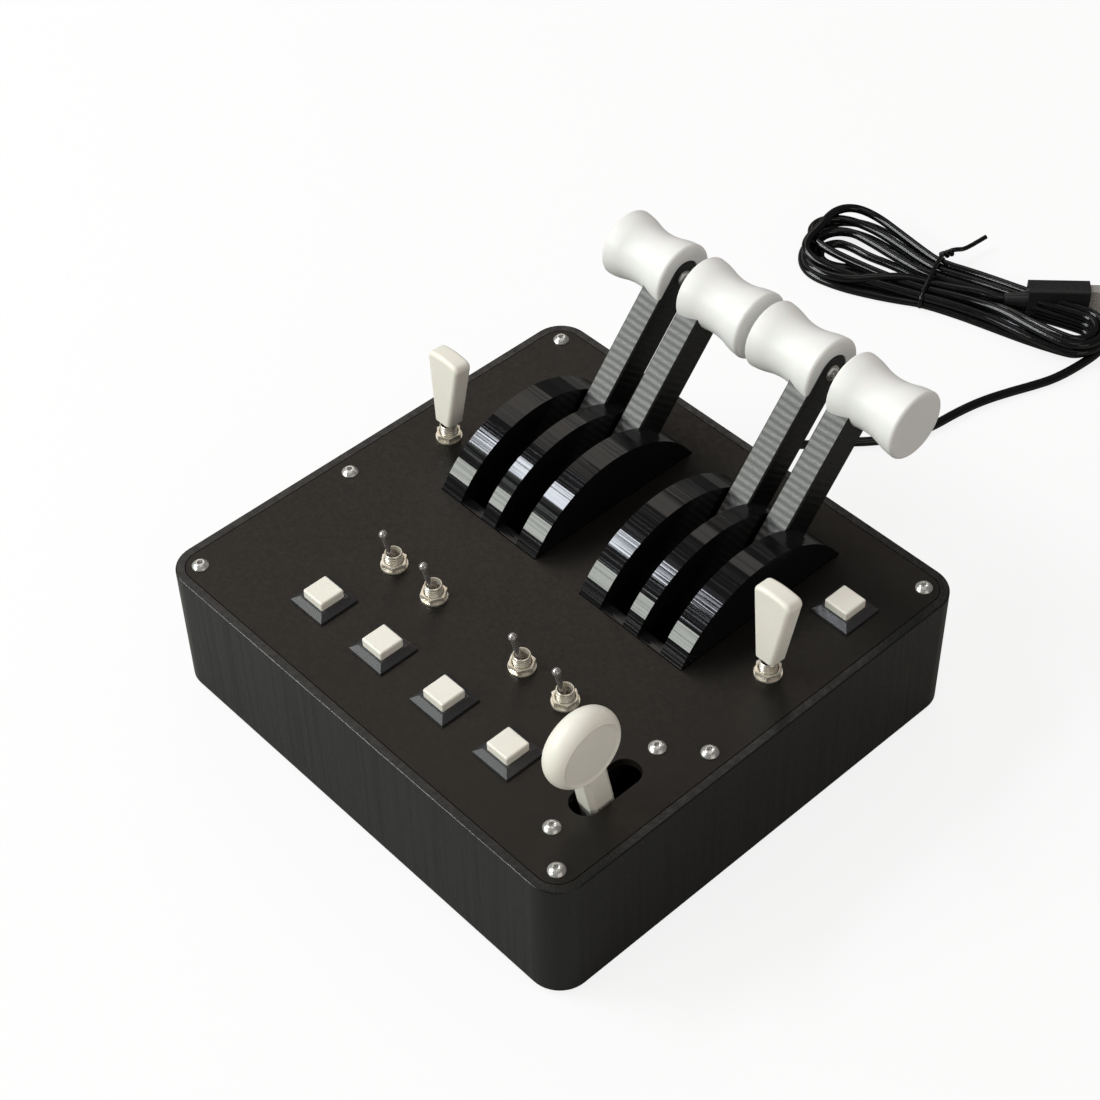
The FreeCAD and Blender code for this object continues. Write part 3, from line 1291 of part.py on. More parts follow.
make_housing()
make_panel()
make_fasteners()
make_lever_units()
make_toggles()
make_buttons()
make_flap()
make_board()
make_gland()
make_cord()
make_hank()
make_plug()
check_document()
write_parts()
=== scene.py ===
"""Throttle quadrant: a low printed box with guarded levers, toggles, paddles, buttons and a tied USB cord."""

import math

import bmesh
import bpy
from mathutils import Matrix, Vector


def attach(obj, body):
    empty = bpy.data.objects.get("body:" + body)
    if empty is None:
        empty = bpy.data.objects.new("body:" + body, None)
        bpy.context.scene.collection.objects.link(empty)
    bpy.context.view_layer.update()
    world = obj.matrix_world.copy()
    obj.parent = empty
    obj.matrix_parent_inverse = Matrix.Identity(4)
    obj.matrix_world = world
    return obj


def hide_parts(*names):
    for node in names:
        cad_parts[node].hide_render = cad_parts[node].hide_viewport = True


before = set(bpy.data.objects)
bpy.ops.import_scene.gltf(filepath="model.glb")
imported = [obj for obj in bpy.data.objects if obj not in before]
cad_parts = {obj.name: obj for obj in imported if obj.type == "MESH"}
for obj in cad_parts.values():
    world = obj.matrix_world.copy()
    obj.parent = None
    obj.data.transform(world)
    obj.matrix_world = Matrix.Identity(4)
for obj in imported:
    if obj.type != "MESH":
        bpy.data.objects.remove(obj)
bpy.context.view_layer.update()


# ---------------------------------------------------------------- camera
# A hand-held telephone camera, above and to the front right of the box, with a slight roll.

view = bpy.data.cameras.new("camera")
view.lens = 77.36
view.sensor_width = 36
view.clip_start = 0.01
camera = bpy.data.objects.new("camera", view)
right = Vector((0.68198, 0.73113, -0.01885)).normalized()
ahead = Vector((-0.5201, 0.4667, -0.7153)).normalized()
up = right.cross(ahead)
camera_place = Matrix.Translation((0.39493, -0.35812, 0.61030))
camera.matrix_world = camera_place @ Matrix((right, up, -ahead)).transposed().to_4x4()
bpy.context.scene.collection.objects.link(camera)
bpy.context.scene.camera = camera


# ---------------------------------------------------------------- USB cord and its hank
# Soft black PVC cord, 3.5 mm across and about 1.8 m long. It leaves the boot, drops to the desk, and is
# folded into a hank of six loops: two layers of three under the tie, three layers of two at the right fold.

MM = 0.001


def finish(name, color, roughness, **inputs):
    """Start a finish: one Principled surface with its plain settings."""
    made = bpy.data.materials.new(name)
    made.use_nodes = True
    surface = made.node_tree.nodes["Principled BSDF"]
    surface.inputs["Base Color"].default_value = (*color, 1)
    surface.inputs["Roughness"].default_value = roughness
    for key, value in inputs.items():
        surface.inputs[key.replace("_", " ")].default_value = value
    made.diffuse_color = (*color, 1)
    return made


def node(made, kind, inputs=(), output=0, **settings):
    """Add a shader node, wire or set its inputs, and return one of its outputs."""
    added = made.node_tree.nodes.new("ShaderNode" + kind)
    for key, value in settings.items():
        setattr(added, key, value)
    for key, value in dict(inputs).items():
        if isinstance(value, bpy.types.NodeSocket):
            made.node_tree.links.new(value, added.inputs[key])
        else:
            added.inputs[key].default_value = value
    return added.outputs[output]


def drive(made, key, socket):
    """Wire a socket to an input of the finish's surface."""
    surface = made.node_tree.nodes["Principled BSDF"]
    made.node_tree.links.new(socket, surface.inputs[key])


def math_node(made, operation, *values):
    return node(made, "Math", dict(enumerate(values)), operation=operation)


def coordinates(made):
    return node(made, "TexCoord", output=3)


def noise(made, scale, detail=2.0, vector=None):
    wired = {"Scale": scale, "Detail": detail, "Vector": vector or coordinates(made)}
    return node(made, "TexNoise", wired)


def fade(made, source, low, high, start=0.0, end=1.0):
    """Map a value from low..high to start..end."""
    return node(made, "MapRange", {0: source, 1: low, 2: high, 3: start, 4: end})


def blend_colors(made, amount, first, second):
    wired = {0: amount, 6: (*first, 1), 7: (*second, 1)}
    return node(made, "Mix", wired, output=2, data_type="RGBA")


def bump(made, height, depth, strength=1.0, under=None):
    """Raise the surface by a height of 0..1 times a depth in metres."""
    wired = {"Height": height, "Distance": depth, "Strength": strength}
    if under:
        wired["Normal"] = under
    return node(made, "Bump", wired)


def patchy(made, scale, detail, low, high):
    """Vary the roughness from low to high in soft patches."""
    drive(made, "Roughness", fade(made, noise(made, scale, detail), 0.3, 0.7, low, high))


def grain(made, scale, detail, depth, strength):
    """Roughen the surface with a fine even grain, its depth in metres."""
    drive(made, "Normal", bump(made, noise(made, scale, detail), depth, strength))


def nurbs_line(name, places, radius, steps, roundness):
    """A round line of this radius in metres along one open NURBS spline."""
    line = bpy.data.curves.new(name, "CURVE")
    line.dimensions = "3D"
    spline = line.splines.new("NURBS")
    spline.points.add(len(places) - 1)
    for point, place in zip(spline.points, places):
        point.co = (*(place * MM), 1)
    spline.order_u = 3
    spline.use_endpoint_u = True
    spline.resolution_u = steps
    line.bevel_depth = radius
    line.bevel_resolution = roundness
    line.use_fill_caps = True
    drawn = bpy.data.objects.new(name, line)
    bpy.context.scene.collection.objects.link(drawn)
    return drawn


cord_finish = finish("cord_pvc", (0.004, 0.004, 0.0045), 0.15)
scuffs = noise(cord_finish, 240, 4)
drive(cord_finish, "Roughness", fade(cord_finish, scuffs, 0.35, 0.7, 0.1, 0.2))
grain(cord_finish, 500, 2, 0.00001, 0.4)

route = [
    (-20, 112.5, 15), (-20, 124, 15), (-19.5, 136, 9.5), (-17.5, 147, 3), (-12, 157, 1.75), (-4, 166, 1.75),
    (2.5, 177, 1.75), (5.3, 188, 1.75), (6.5, 199.5, 1.75), (8.9, 211.5, 1.75), (13, 223, 1.75),
    (17, 232.5, 1.75), (20.2, 241.5, 1.75), (21.8, 252.5, 1.75),
]

tie_place = Vector((-49.4, 249.8, 0))
leftward = Vector((-0.923, -0.384, 0))
backward = Vector((-0.384, 0.923, 0))
columns = (11.4, 6.85, 2.25)
layers = (1.75, 5.35, 8.95)
right_fold = (-61.2, -10.1)
fold_radii = (11.5, 8.0)
# each loop: its column and layer under the tie, the column and layer of the right fold that leads to it, and
# the listed points of its left bulge (to the left, to the back, height), from the back run to the front run
loops = (
    (0, 0, 0, 0, (
        (9, 16.5, 1.75), (20, 23, 1.75), (34, 28.2, 1.75), (46, 27, 1.75), (53.4, 19.6, 1.75), (54.9, 9, 1.75),
        (54.5, -3, 1.75), (48, -11.8, 1.75), (34, -14.6, 1.75), (20, -14.2, 1.75), (9, -13, 1.75),
    )),
    (2, 0, 1, 0, (
        (9, 4.2, 1.75), (19, 7, 1.75), (29, 8.4, 1.75), (37, 11.4, 1.75), (44, 12.2, 1.75), (49, 6, 1.75),
        (46.5, -1.6, 1.75), (39, -3.2, 1.75), (30, -0.2, 1.75), (19, -1.2, 1.75), (9, -2.2, 1.75),
    )),
    (1, 1, 1, 2, (
        (9, 10.5, 5.4), (19, 15.6, 5.6), (31, 20.8, 6), (43, 22.5, 6.6), (51.6, 18.2, 7.4), (55, 11, 7.6),
        (52.5, 4.6, 6.8), (44, 0.6, 6.2), (32, -2.2, 5.7), (20, -4.6, 5.5), (9, -6.2, 5.4),
    )),
    (0, 1, 0, 2, (
        (9, 16, 5.5), (20, 22, 6), (33, 28.4, 7.2), (43, 28, 9.2), (49, 20.5, 10.6), (50.5, 9, 10.8),
        (54, -1, 8.2), (49.5, -7, 6.6), (38, -9.4, 5.7), (24, -10.6, 5.4), (9, -11.2, 5.35),
    )),
    (1, 0, 0, 1, (
        (9, 10, 1.75), (20, 15, 1.8), (32, 19.8, 2), (44, 20, 2.2), (51, 13.8, 2.3), (51.5, 4, 2.2),
        (47.5, -4.8, 2), (38, -9.6, 1.8), (24, -9.4, 1.75), (9, -7.8, 1.75),
    )),
    (2, 1, 1, 1, (
        (9, 4.4, 5.35), (19, 8.4, 5.3), (30, 13.4, 5.2), (40, 17, 5.2), (49, 13.5, 5.2), (53, 4.6, 4.8),
        (52.5, -5, 4.6), (46, -12.4, 5.0), (32, -14, 5.4), (20, -9, 7.0), (9, -4.4, 7.2),
    )),
)


def hank_point(along, across, height):
    """A place in the hank, from the tie's middle: to the left, to the back, and above the desk."""
    return tie_place + leftward * along + backward * across + Vector((0, 0, height))


def ease(share):
    return share * share * (3 - 2 * share)


def arc(middle, reach, half, angles, height):
    """Points round a fold of the hank; 90 degrees is to the back."""
    places = []
    for a in map(math.radians, angles):
        places.append(hank_point(middle[0] + reach * math.cos(a), middle[1] + half * math.sin(a), height))
    return places


turns = []
for number, (column, layer, fold_column, fold_layer, bulge) in enumerate(loops):
    out, level = columns[column], layers[layer]
    radius, fold_level = fold_radii[fold_column], layers[fold_layer]
    start = (-90, -60, -30, 0, 30, 60, 90) if number else (-20, 5, 32, 60, 90)
    turns += arc(right_fold, -radius, radius, start, fold_level)
    far = right_fold[1] + radius
    for share in (0.25, 0.5, 0.75, 1.0):
        across = far + (out - far) * ease(share)
        height = fold_level + (level - fold_level) * ease(share)
        turns.append(hank_point(right_fold[0] * (1 - share), across, height))
    turns += [hank_point(*place) for place in bulge]
    turns.append(hank_point(0, -out, level))
    if number < len(loops) - 1:
        far = right_fold[1] - fold_radii[loops[number + 1][2]]
        lift = layers[loops[number + 1][3]] - level
        pinch = (0, 2.5, 5)[loops[number + 1][3]]
        for share in (0.25, 0.5, 0.75):
            height = level + lift * ease(share)
            across = -out + (far + out) * ease(share) + pinch * math.sin(math.pi * share) ** 2
            turns.append(hank_point(right_fold[0] * share, across, height))
turns += [hank_point(-10, -2.3, 5.9), hank_point(-20, -2.4, 7.2), hank_point(-26, -3.5, 7.5)]
turns.append(Vector((-20.1, 259, 7.5)))

CORD_RADIUS = 1.75 * MM
TIE_RADIUS = 0.95 * MM
cord = nurbs_line("usb_cord", [Vector(point) for point in route] + turns, CORD_RADIUS, 8, 5)
cord.data.materials.append(cord_finish)
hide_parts("usb_cable", "usb_hank")
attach(cord, "housing")

# Wire tie: one loop round the bundle, twisted twice on itself, with its free ends left long.
tie_loop = [
    (0, 15.4, 5.2), (0.2, 14.4, 3), (0.3, 13.2, 1.1), (0, 6, 0.96), (0, -6, 0.96), (0, -13.4, 1.2),
    (0, -14.4, 3.4), (0, -13, 6.8), (0, -7, 8.6), (0, 0, 8.8), (0, 7, 8.6), (0, 12, 8.4), (0, 14.6, 7.4),
]
for number in range(8):
    a = math.radians(120 * number)
    tie_loop.append((-0.45 * number + 1.5 * math.cos(a), 15.6 + 0.55 * number, 6.4 + 1.5 * math.sin(a)))
tie_loop += [(-5.6, 23.6, 5.2), (-7.4, 26.6, 4.9), (-10.2, 31, 5.6), (-12.2, 34, 6.2)]
drawn = nurbs_line("wire_tie", [hank_point(*place) for place in tie_loop], TIE_RADIUS, 6, 3)
solid_wire = drawn.evaluated_get(bpy.context.evaluated_depsgraph_get())
tie = bpy.data.objects.new("cord_tie", bpy.data.meshes.new_from_object(solid_wire))
bpy.data.objects.remove(drawn)
bpy.context.scene.collection.objects.link(tie)
tie.data.materials.clear()
tie.data.materials.append(cord_finish)
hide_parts("cable_tie")
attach(tie, "housing")


# ---------------------------------------------------------------- printed box
# Black box printed upright: fine layer lines, and faint upright ripples on the walls.

def paint(made, *names):
    """Give shaped nodes this finish."""
    for name in names:
        for item in bpy.data.objects[name].material_slots:
            item.material = made


def stretched(made, x, y, z):
    """Object coordinates scaled along each axis."""
    return node(made, "Mapping", {0: coordinates(made), 3: (x, y, z)})


box_finish = finish("printed_box", (0.006, 0.006, 0.006), 0.28)
ripples = noise(box_finish, 1.0, 3, stretched(box_finish, 420, 420, 14))
streaks = noise(box_finish, 1.0, 2, stretched(box_finish, 30, 30, 2600))
drive(box_finish, "Roughness", fade(box_finish, ripples, 0.3, 0.7, 0.18, 0.38))
rough_layers = bump(box_finish, streaks, 0.00006, 0.7)
drive(box_finish, "Normal", bump(box_finish, ripples, 0.00012, 0.6, rough_layers))
paint(box_finish, "base_housing")


# ---------------------------------------------------------------- top panel
# Matt black sheet with a faint warm bloom, held flush in the rim by six screws.

panel_finish = finish(
    "panel_sheet", (0.008, 0.0072, 0.0062), 0.36, Specular_IOR_Level=0.34, Specular_Tint=(1.0, 0.93, 0.86, 1),
)
clouds = noise(panel_finish, 9, 3)
cloudy = blend_colors(
    panel_finish, fade(panel_finish, clouds, 0.3, 0.7), (0.006, 0.0055, 0.0048), (0.011, 0.0098, 0.0084),
)
drive(panel_finish, "Base Color", cloudy)
patchy(panel_finish, 700, 3, 0.3, 0.42)
grain(panel_finish, 2600, 2, 0.00003, 0.4)
paint(panel_finish, "top_panel")


# ---------------------------------------------------------------- lever guards
# Glossy black prints. Their arcs are made of short flats, and each layer leaves a thin line across them.

guard_finish = finish("printed_guards", (0.005, 0.005, 0.0055), 0.12, Specular_IOR_Level=0.4)
FLAT_ANGLE = math.radians(8.5)
AXIS_BACK = 0.0363
AXIS_HEIGHT = 0.0305
ARC_FROM = 0.04235
ARC_ABOVE = 0.0519


def guard_math(operation, *values):
    return math_node(guard_finish, operation, *values)


separated = node(guard_finish, "SeparateXYZ", {0: coordinates(guard_finish)}).node
about_y = guard_math("SUBTRACT", separated.outputs[1], AXIS_BACK)
about_z = guard_math("SUBTRACT", separated.outputs[2], AXIS_HEIGHT)
angle = guard_math("ARCTAN2", about_y, about_z)
step = guard_math("FLOOR", guard_math("DIVIDE", angle, FLAT_ANGLE))
middle = guard_math("MULTIPLY", guard_math("ADD", step, 0.5), FLAT_ANGLE)
tilt = {1: guard_math("SINE", middle), 2: guard_math("COSINE", middle)}
flat_normal = node(guard_finish, "CombineXYZ", tilt)
world_normal = node(
    guard_finish, "VectorTransform", {0: flat_normal}, vector_type="NORMAL", convert_from="OBJECT",
    convert_to="WORLD",
)
squares = guard_math("ADD", guard_math("MULTIPLY", about_y, about_y), guard_math("MULTIPLY", about_z, about_z))
on_arc = guard_math("GREATER_THAN", guard_math("SQRT", squares), ARC_FROM)
above = guard_math("GREATER_THAN", separated.outputs[2], ARC_ABOVE)
plain_normal = node(guard_finish, "NewGeometry", output=1)
either = {0: guard_math("MULTIPLY", on_arc, above), 4: plain_normal, 5: world_normal}
chosen = node(guard_finish, "Mix", either, output=1, data_type="VECTOR")
cross_lines = noise(guard_finish, 1.0, 1, stretched(guard_finish, 12, 1300, 1900))
drive(guard_finish, "Roughness", fade(guard_finish, cross_lines, 0.42, 0.6, 0.05, 0.22))
drive(guard_finish, "Normal", bump(guard_finish, cross_lines, 0.00005, 0.8, chosen))
paint(guard_finish, "guard_left", "guard_right", "flap_bracket")


# ---------------------------------------------------------------- lever arms
# Black prints made lying down, so the layers show as cross bands on the front and back faces; there the bands
# are painted light grey as a painted sheen of the window light, and the sides stay black.

arm_finish = finish("printed_arms", (0.014, 0.014, 0.0145), 0.42)
tilted = node(arm_finish, "Mapping", {0: coordinates(arm_finish), 2: (math.radians(40), 0, 0)})
along = node(arm_finish, "SeparateXYZ", {0: tilted}, output=2)
waver = math_node(arm_finish, "MULTIPLY", noise(arm_finish, 70, 2, tilted), 3.5)
BAND_PITCH = 0.0026
steady = math_node(arm_finish, "MULTIPLY", along, 2 * math.pi / BAND_PITCH)
phase = math_node(arm_finish, "ADD", steady, waver)
bands = fade(arm_finish, math_node(arm_finish, "SINE", phase), -1, 1)
weave = noise(arm_finish, 1.0, 3, node(arm_finish, "Mapping", {0: tilted, 3: (500, 500, 3200)}))
# Painted sheen: faces that do not point sideways get light grey layer stripes in the base colour, standing in
# for window light along the layer lines.
sideways = node(arm_finish, "SeparateXYZ", {0: node(arm_finish, "NewGeometry", output=1)})
facing = math_node(arm_finish, "ABSOLUTE", sideways)
painted_sheen_faces = fade(arm_finish, facing, 0.3, 0.6, 1.0, 0.0)
band_sheen_tone = fade(arm_finish, bands, 0, 1, 0.3, 1.0)
weave_sheen_tone = fade(arm_finish, weave, 0.3, 0.7, 0.35, 1.0)
painted_sheen_stripes = math_node(arm_finish, "MULTIPLY", painted_sheen_faces, math_node(arm_finish, "MULTIPLY", band_sheen_tone, weave_sheen_tone))
# The near-black is the print's own colour; the light grey is painted sheen.
arm_color_with_painted_sheen = blend_colors(arm_finish, painted_sheen_stripes, (0.004, 0.004, 0.0045), (0.24, 0.242, 0.235))
drive(arm_finish, "Base Color", arm_color_with_painted_sheen)
drive(arm_finish, "Roughness", fade(arm_finish, weave, 0.3, 0.7, 0.34, 0.55))
drive(arm_finish, "Normal", bump(arm_finish, weave, 0.0001, 0.7, bump(arm_finish, bands, 0.00008, 0.6)))
paint(arm_finish, *[f"lever_arm_{number}" for number in range(1, 5)])


# ---------------------------------------------------------------- lever knobs
# Smooth white prints with a waist for the fingers, each held by a bolt through the top of its lever.

knob_finish = finish(
    "knob_white", (0.79, 0.785, 0.77), 0.42, Subsurface_Weight=0.08, Subsurface_Scale=0.002,
)
knob_rings = noise(knob_finish, 1.0, 2, stretched(knob_finish, 2400, 60, 60))
patchy(knob_finish, 260, 3, 0.38, 0.5)
drive(knob_finish, "Normal", bump(knob_finish, knob_rings, 0.00003, 0.5))
paint(knob_finish, *[f"lever_knob_{number}" for number in range(1, 5)])


# ---------------------------------------------------------------- ivory parts
# Paddle caps, button caps and the disc-headed lever, in smooth warm white.

ivory_finish = finish(
    "ivory_plastic", (0.80, 0.77, 0.69), 0.38, Subsurface_Weight=0.06, Subsurface_Scale=0.002,
)
ivory_tones = fade(ivory_finish, noise(ivory_finish, 60, 3), 0.3, 0.7)
ivory_color = blend_colors(ivory_finish, ivory_tones, (0.78, 0.75, 0.665), (0.82, 0.795, 0.72))
drive(ivory_finish, "Base Color", ivory_color)
patchy(ivory_finish, 500, 3, 0.32, 0.46)
ivory_layers = noise(ivory_finish, 1.0, 2, stretched(ivory_finish, 200, 200, 3000))
drive(ivory_finish, "Normal", bump(ivory_finish, ivory_layers, 0.00003, 0.5))
paint(ivory_finish, "paddle_cap_left", "paddle_cap_right", "flap_lever")
paint(ivory_finish, *[f"button_cap_{number}" for number in range(1, 6)])


# ---------------------------------------------------------------- toggle switches
# Nickel-plated bushings with a fine thread, chamfered hexagon nuts, washers and ball-ended bats.

nickel = finish("nickel_plate", (0.80, 0.75, 0.66), 0.2, Metallic=0.62)
stains = noise(nickel, 400, 2)
nickel_color = blend_colors(nickel, fade(nickel, stains, 0.3, 0.7), (0.74, 0.66, 0.52), (0.88, 0.84, 0.76))
drive(nickel, "Base Color", nickel_color)
patchy(nickel, 700, 2, 0.2, 0.32)
grain(nickel, 2600, 2, 0.000004, 0.4)
bat_metal = finish("bat_metal", (0.52, 0.49, 0.48), 0.2, Metallic=0.78)
patchy(bat_metal, 1200, 2, 0.14, 0.28)
bat_rings = noise(bat_metal, 1.0, 2, stretched(bat_metal, 600, 600, 4000))
drive(bat_metal, "Normal", bump(bat_metal, bat_rings, 0.00001, 0.5))
paint(nickel, "toggle_washers")
paint(bat_metal, "paddle_bat_left", "paddle_bat_right")
paint(bat_metal, *[f"toggle_bat_{number}" for number in range(1, 5)])

switch_places = [(-41.7, -35.2), (-21.8, -35.2), (20.4, -35.2), (40.3, -35.2), (-75.8, 18.7), (75.8, 18.7)]
nut_turns = (14, 4, 2, 26, 22, 8)


def mesh_piece(name, shape, made, *nodes, smooth=35):
    """Turn a mesh under construction into a finished piece that stands for these shaped nodes."""
    bmesh.ops.recalc_face_normals(shape, faces=shape.faces)
    mesh = bpy.data.meshes.new(name)
    shape.to_mesh(mesh)
    shape.free()
    mesh.materials.append(made)
    piece = bpy.data.objects.new(name, mesh)
    bpy.context.scene.collection.objects.link(piece)
    mesh.shade_smooth()
    mesh.set_sharp_from_angle(angle=math.radians(smooth))
    if nodes:
        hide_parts(*nodes)
    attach(piece, "housing")
    return piece


def lathe(shape, profile, centre, segments=48, radius_at=None):
    """Turn a profile of (radius, height) in millimetres about the upright line through centre."""
    rings = []
    for radius, height in profile:
        ring = []
        for number in range(segments):
            a = 2 * math.pi * number / segments
            r, h = radius_at(radius, height, a) if radius_at else (radius, height)
            place = Vector((centre[0] + r * math.cos(a), centre[1] + r * math.sin(a), h))
            ring.append(shape.verts.new(place * MM))
        rings.append(ring)
    for low, high in zip(rings, rings[1:] + rings[:1]):
        for number in range(segments):
            after = (number + 1) % segments
            shape.faces.new((low[number], low[after], high[after], high[number]))


PANEL_TOP = 52.0
WASHER = 0.62
HALF_FLATS = 4.0
ON_FLATS = -1

shape = bmesh.new()
for (x, y), turn in zip(switch_places, nut_turns):
    def hexagon(radius, height, a, turn=turn):
        """Leave round radii alone; put ON_FLATS on the hexagon, its top corners turned down."""
        if radius != ON_FLATS:
            return radius, height
        flat = HALF_FLATS / math.cos((a - math.radians(turn)) % (math.pi / 3) - math.pi / 6)
        corner_drop = 0.12 if height > PANEL_TOP + 1.5 else 0.0
        return flat, height - (flat - HALF_FLATS) * corner_drop

    base = PANEL_TOP + WASHER
    profile = [
        (3.1, base), (3.75, base), (ON_FLATS, base + 0.1), (ON_FLATS, base + 1.92),
        (3.9, base + 1.95), (3.5, base + 1.95), (3.2, base + 1.7),
    ]
    lathe(shape, profile, (x, y), 72, hexagon)
mesh_piece("chamfered_nuts", shape, nickel, "toggle_nuts", smooth=22)

shape = bmesh.new()
for x, y in switch_places:
    profile = [(2.45, 57.4), (2.6, 58.0), (2.78, 58.0), (2.98, 57.75)]
    height = 57.6
    while height > 49.5:
        profile += [(2.98, height), (2.98, height - 0.2), (2.62, height - 0.45), (2.62, height - 0.55)]
        height -= 0.8
    profile += [(2.98, 49.2), (2.98, 49.05), (2.45, 49.05)]
    lathe(shape, profile, (x, y), 40)
mesh_piece("threaded_bushings", shape, nickel, "toggle_bushings", smooth=25)


# ---------------------------------------------------------------- buttons
# Dark grey moulded bezels round the caps, and the switch bodies under the panel.

bezel_finish = finish("bezel_grey", (0.034, 0.033, 0.035), 0.36)
patchy(bezel_finish, 600, 3, 0.3, 0.44)
grain(bezel_finish, 1800, 2, 0.00003, 0.5)
paint(bezel_finish, "button_bezels")
body_finish = finish("switch_body", (0.02, 0.02, 0.022), 0.3)
patchy(body_finish, 400, 3, 0.26, 0.4)
grain(body_finish, 1500, 2, 0.00002, 0.5)
paint(body_finish, "button_housings", "toggle_housings", "lever_sensors", "flap_sensor", "board_components")


# ---------------------------------------------------------------- screws, pins, inserts and shafts
# Stainless button-head screws with hexagon sockets, steel pins, brass inserts and turned alloy shafts.

steel = finish("stainless", (0.70, 0.69, 0.66), 0.24, Metallic=0.7)
patchy(steel, 1500, 3, 0.18, 0.36)
grain(steel, 2200, 2, 0.00002, 0.5)
paint(steel, "panel_screws", "board_screws", "guard_screws", "pivot_pins", "flap_pin")
paint(steel, *[f"knob_bolt_{number}" for number in range(1, 5)])
brass = finish("brass_insert", (0.75, 0.55, 0.26), 0.3, Metallic=1.0)
grain(brass, 1400, 2, 0.00005, 0.6)
paint(brass, "threaded_inserts")
alloy = finish("turned_alloy", (0.74, 0.74, 0.75), 0.3, Metallic=1.0)
alloy_rings = noise(alloy, 1.0, 2, stretched(alloy, 4000, 100, 100))
drive(alloy, "Normal", bump(alloy, alloy_rings, 0.00001, 0.6))
paint(alloy, "flap_shaft", *[f"sensor_shaft_{number}" for number in range(1, 5)])


# ---------------------------------------------------------------- feet and circuit board
# Stick-on rubber feet, and the green controller board inside the box.

rubber = finish("foot_rubber", (0.02, 0.02, 0.02), 0.8)
grain(rubber, 1300, 3, 0.00006, 0.6)
paint(rubber, "rubber_feet")
board_finish = finish("circuit_board", (0.015, 0.12, 0.06), 0.35)
tracks = fade(board_finish, noise(board_finish, 300, 2), 0.45, 0.55)
drive(board_finish, "Base Color", blend_colors(board_finish, tracks, (0.012, 0.10, 0.05), (0.02, 0.15, 0.08)))
paint(board_finish, "controller_board")


# ---------------------------------------------------------------- plug and boot
# Moulded black grip and strain relief, and the nickel-plated shell of the plug.

mould_finish = finish("moulded_grip", (0.016, 0.016, 0.017), 0.3)
patchy(mould_finish, 500, 3, 0.24, 0.38)
grain(mould_finish, 1500, 2, 0.00003, 0.5)
paint(mould_finish, "usb_plug_grip", "cable_gland")
shell_finish = finish("plug_metal", (0.80, 0.77, 0.72), 0.24, Metallic=0.7)
patchy(shell_finish, 900, 2, 0.18, 0.32)
paint(shell_finish, "usb_plug_shell")


# ---------------------------------------------------------------- floor, backdrop and lamps
# White studio desk. Light comes from a low window and a lamp to the front left, and softly from all round.

ground = bpy.data.meshes.new("floor")
shape = bmesh.new()
bmesh.ops.create_grid(shape, x_segments=1, y_segments=1, size=40)
shape.to_mesh(ground)
shape.free()
floor = bpy.data.objects.new("floor", ground)
bpy.context.scene.collection.objects.link(floor)
floor_finish = finish("floor_paper", (0.86, 0.86, 0.86), 0.9)
tree = floor_finish.node_tree
glow = tree.nodes.new("ShaderNodeEmission")
glow.inputs["Color"].default_value = (1, 1, 1, 1)
share = tree.nodes.new("ShaderNodeMixShader")
seen = node(floor_finish, "LightPath")
FLOOR_GLOW = 0.84
tree.links.new(math_node(floor_finish, "MULTIPLY", seen, FLOOR_GLOW), share.inputs[0])
mirrored = seen.node.outputs["Is Glossy Ray"]
lit = blend_colors(floor_finish, mirrored, (0.45, 0.45, 0.44), (0.24, 0.24, 0.225))
paper = {0: seen, 6: lit, 7: (0.86, 0.86, 0.86, 1)}
toned = node(floor_finish, "Mix", paper, output=2, data_type="RGBA")
drive(floor_finish, "Base Color", toned)
tree.links.new(tree.nodes["Principled BSDF"].outputs[0], share.inputs[1])
tree.links.new(glow.outputs[0], share.inputs[2])
tree.links.new(share.outputs[0], tree.nodes["Material Output"].inputs["Surface"])
floor.data.materials.append(floor_finish)

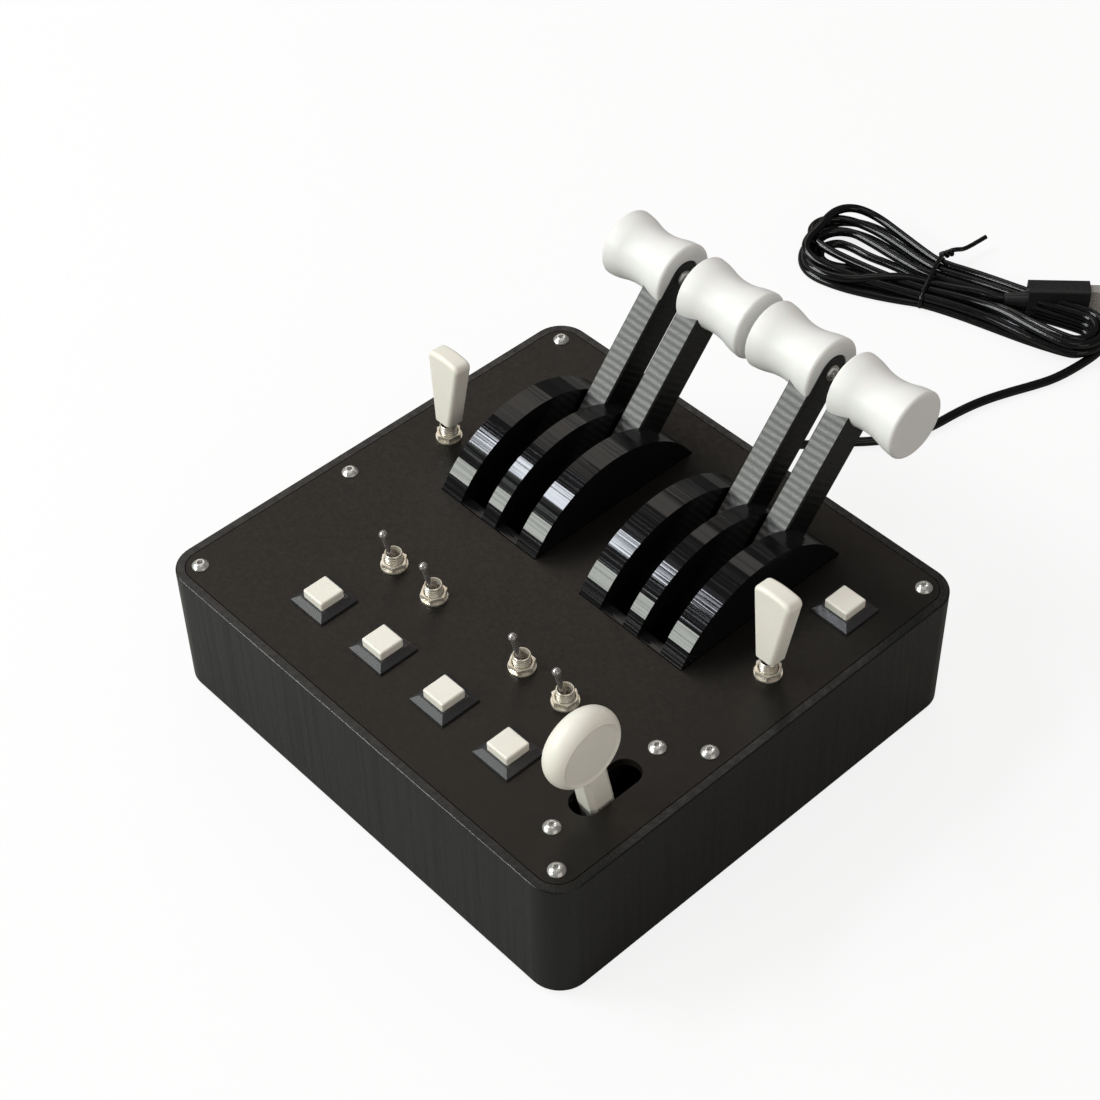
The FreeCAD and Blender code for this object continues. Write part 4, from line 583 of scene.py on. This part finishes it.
surroundings = bpy.data.worlds.new("studio")
bpy.context.scene.world = surroundings
surroundings.use_nodes = True
tree = surroundings.node_tree
tree.nodes["Background"].inputs["Color"].default_value = (0.43, 0.415, 0.395, 1)
white = tree.nodes.new("ShaderNodeBackground")
dim = tree.nodes.new("ShaderNodeBackground")
dim.inputs["Color"].default_value = (0.09, 0.088, 0.085, 1)
path = tree.nodes.new("ShaderNodeLightPath")
lighting = tree.nodes.new("ShaderNodeMixShader")
tree.links.new(path.outputs["Is Glossy Ray"], lighting.inputs[0])
tree.links.new(tree.nodes["Background"].outputs[0], lighting.inputs[1])
tree.links.new(dim.outputs[0], lighting.inputs[2])
choice = tree.nodes.new("ShaderNodeMixShader")
tree.links.new(path.outputs["Is Camera Ray"], choice.inputs[0])
tree.links.new(lighting.outputs[0], choice.inputs[1])
tree.links.new(white.outputs[0], choice.inputs[2])
tree.links.new(choice.outputs[0], tree.nodes["World Output"].inputs["Surface"])
white.inputs["Color"].default_value = (1, 1, 1, 1)

# name, compass angle from +X, height above the desk in degrees, width, height, brightness, colour
LAMPS = (
    ("window", -124, 25, 1.6, 0.42, 12, (0.95, 1.0, 0.93)),
    ("lamp", -146, 50, 0.9, 0.2, 24, (0.88, 0.92, 1.0)),
    ("far_wall", 150, 46, 1.2, 0.8, 1.1, (1.0, 0.92, 0.84)),
    ("ceiling", -30, 78, 1.2, 1.2, 0.65, (1.0, 0.98, 0.95)),
    ("side_wall", -12, 22, 1.2, 1.0, 0.8, (1.0, 0.92, 0.84)),
)
LAMP_DISTANCE = 2.0
target = Vector((0, 0.03, 0.06))
for name, heading, rise, wide, tall, brightness, color in LAMPS:
    light = bpy.data.lights.new(name, "AREA")
    light.shape = "RECTANGLE"
    light.size, light.size_y = wide, tall
    light.color = color
    light.energy = brightness * math.pi * wide * tall
    lamp = bpy.data.objects.new(name, light)
    a, e = math.radians(heading), math.radians(rise)
    direction = Vector((math.cos(a) * math.cos(e), math.sin(a) * math.cos(e), math.sin(e)))
    turned = direction.to_track_quat("Z", "Y").to_matrix().to_4x4()
    lamp.matrix_world = Matrix.Translation(target + direction * LAMP_DISTANCE) @ turned
    bpy.context.scene.collection.objects.link(lamp)

bpy.context.scene.view_settings.view_transform = "Standard"
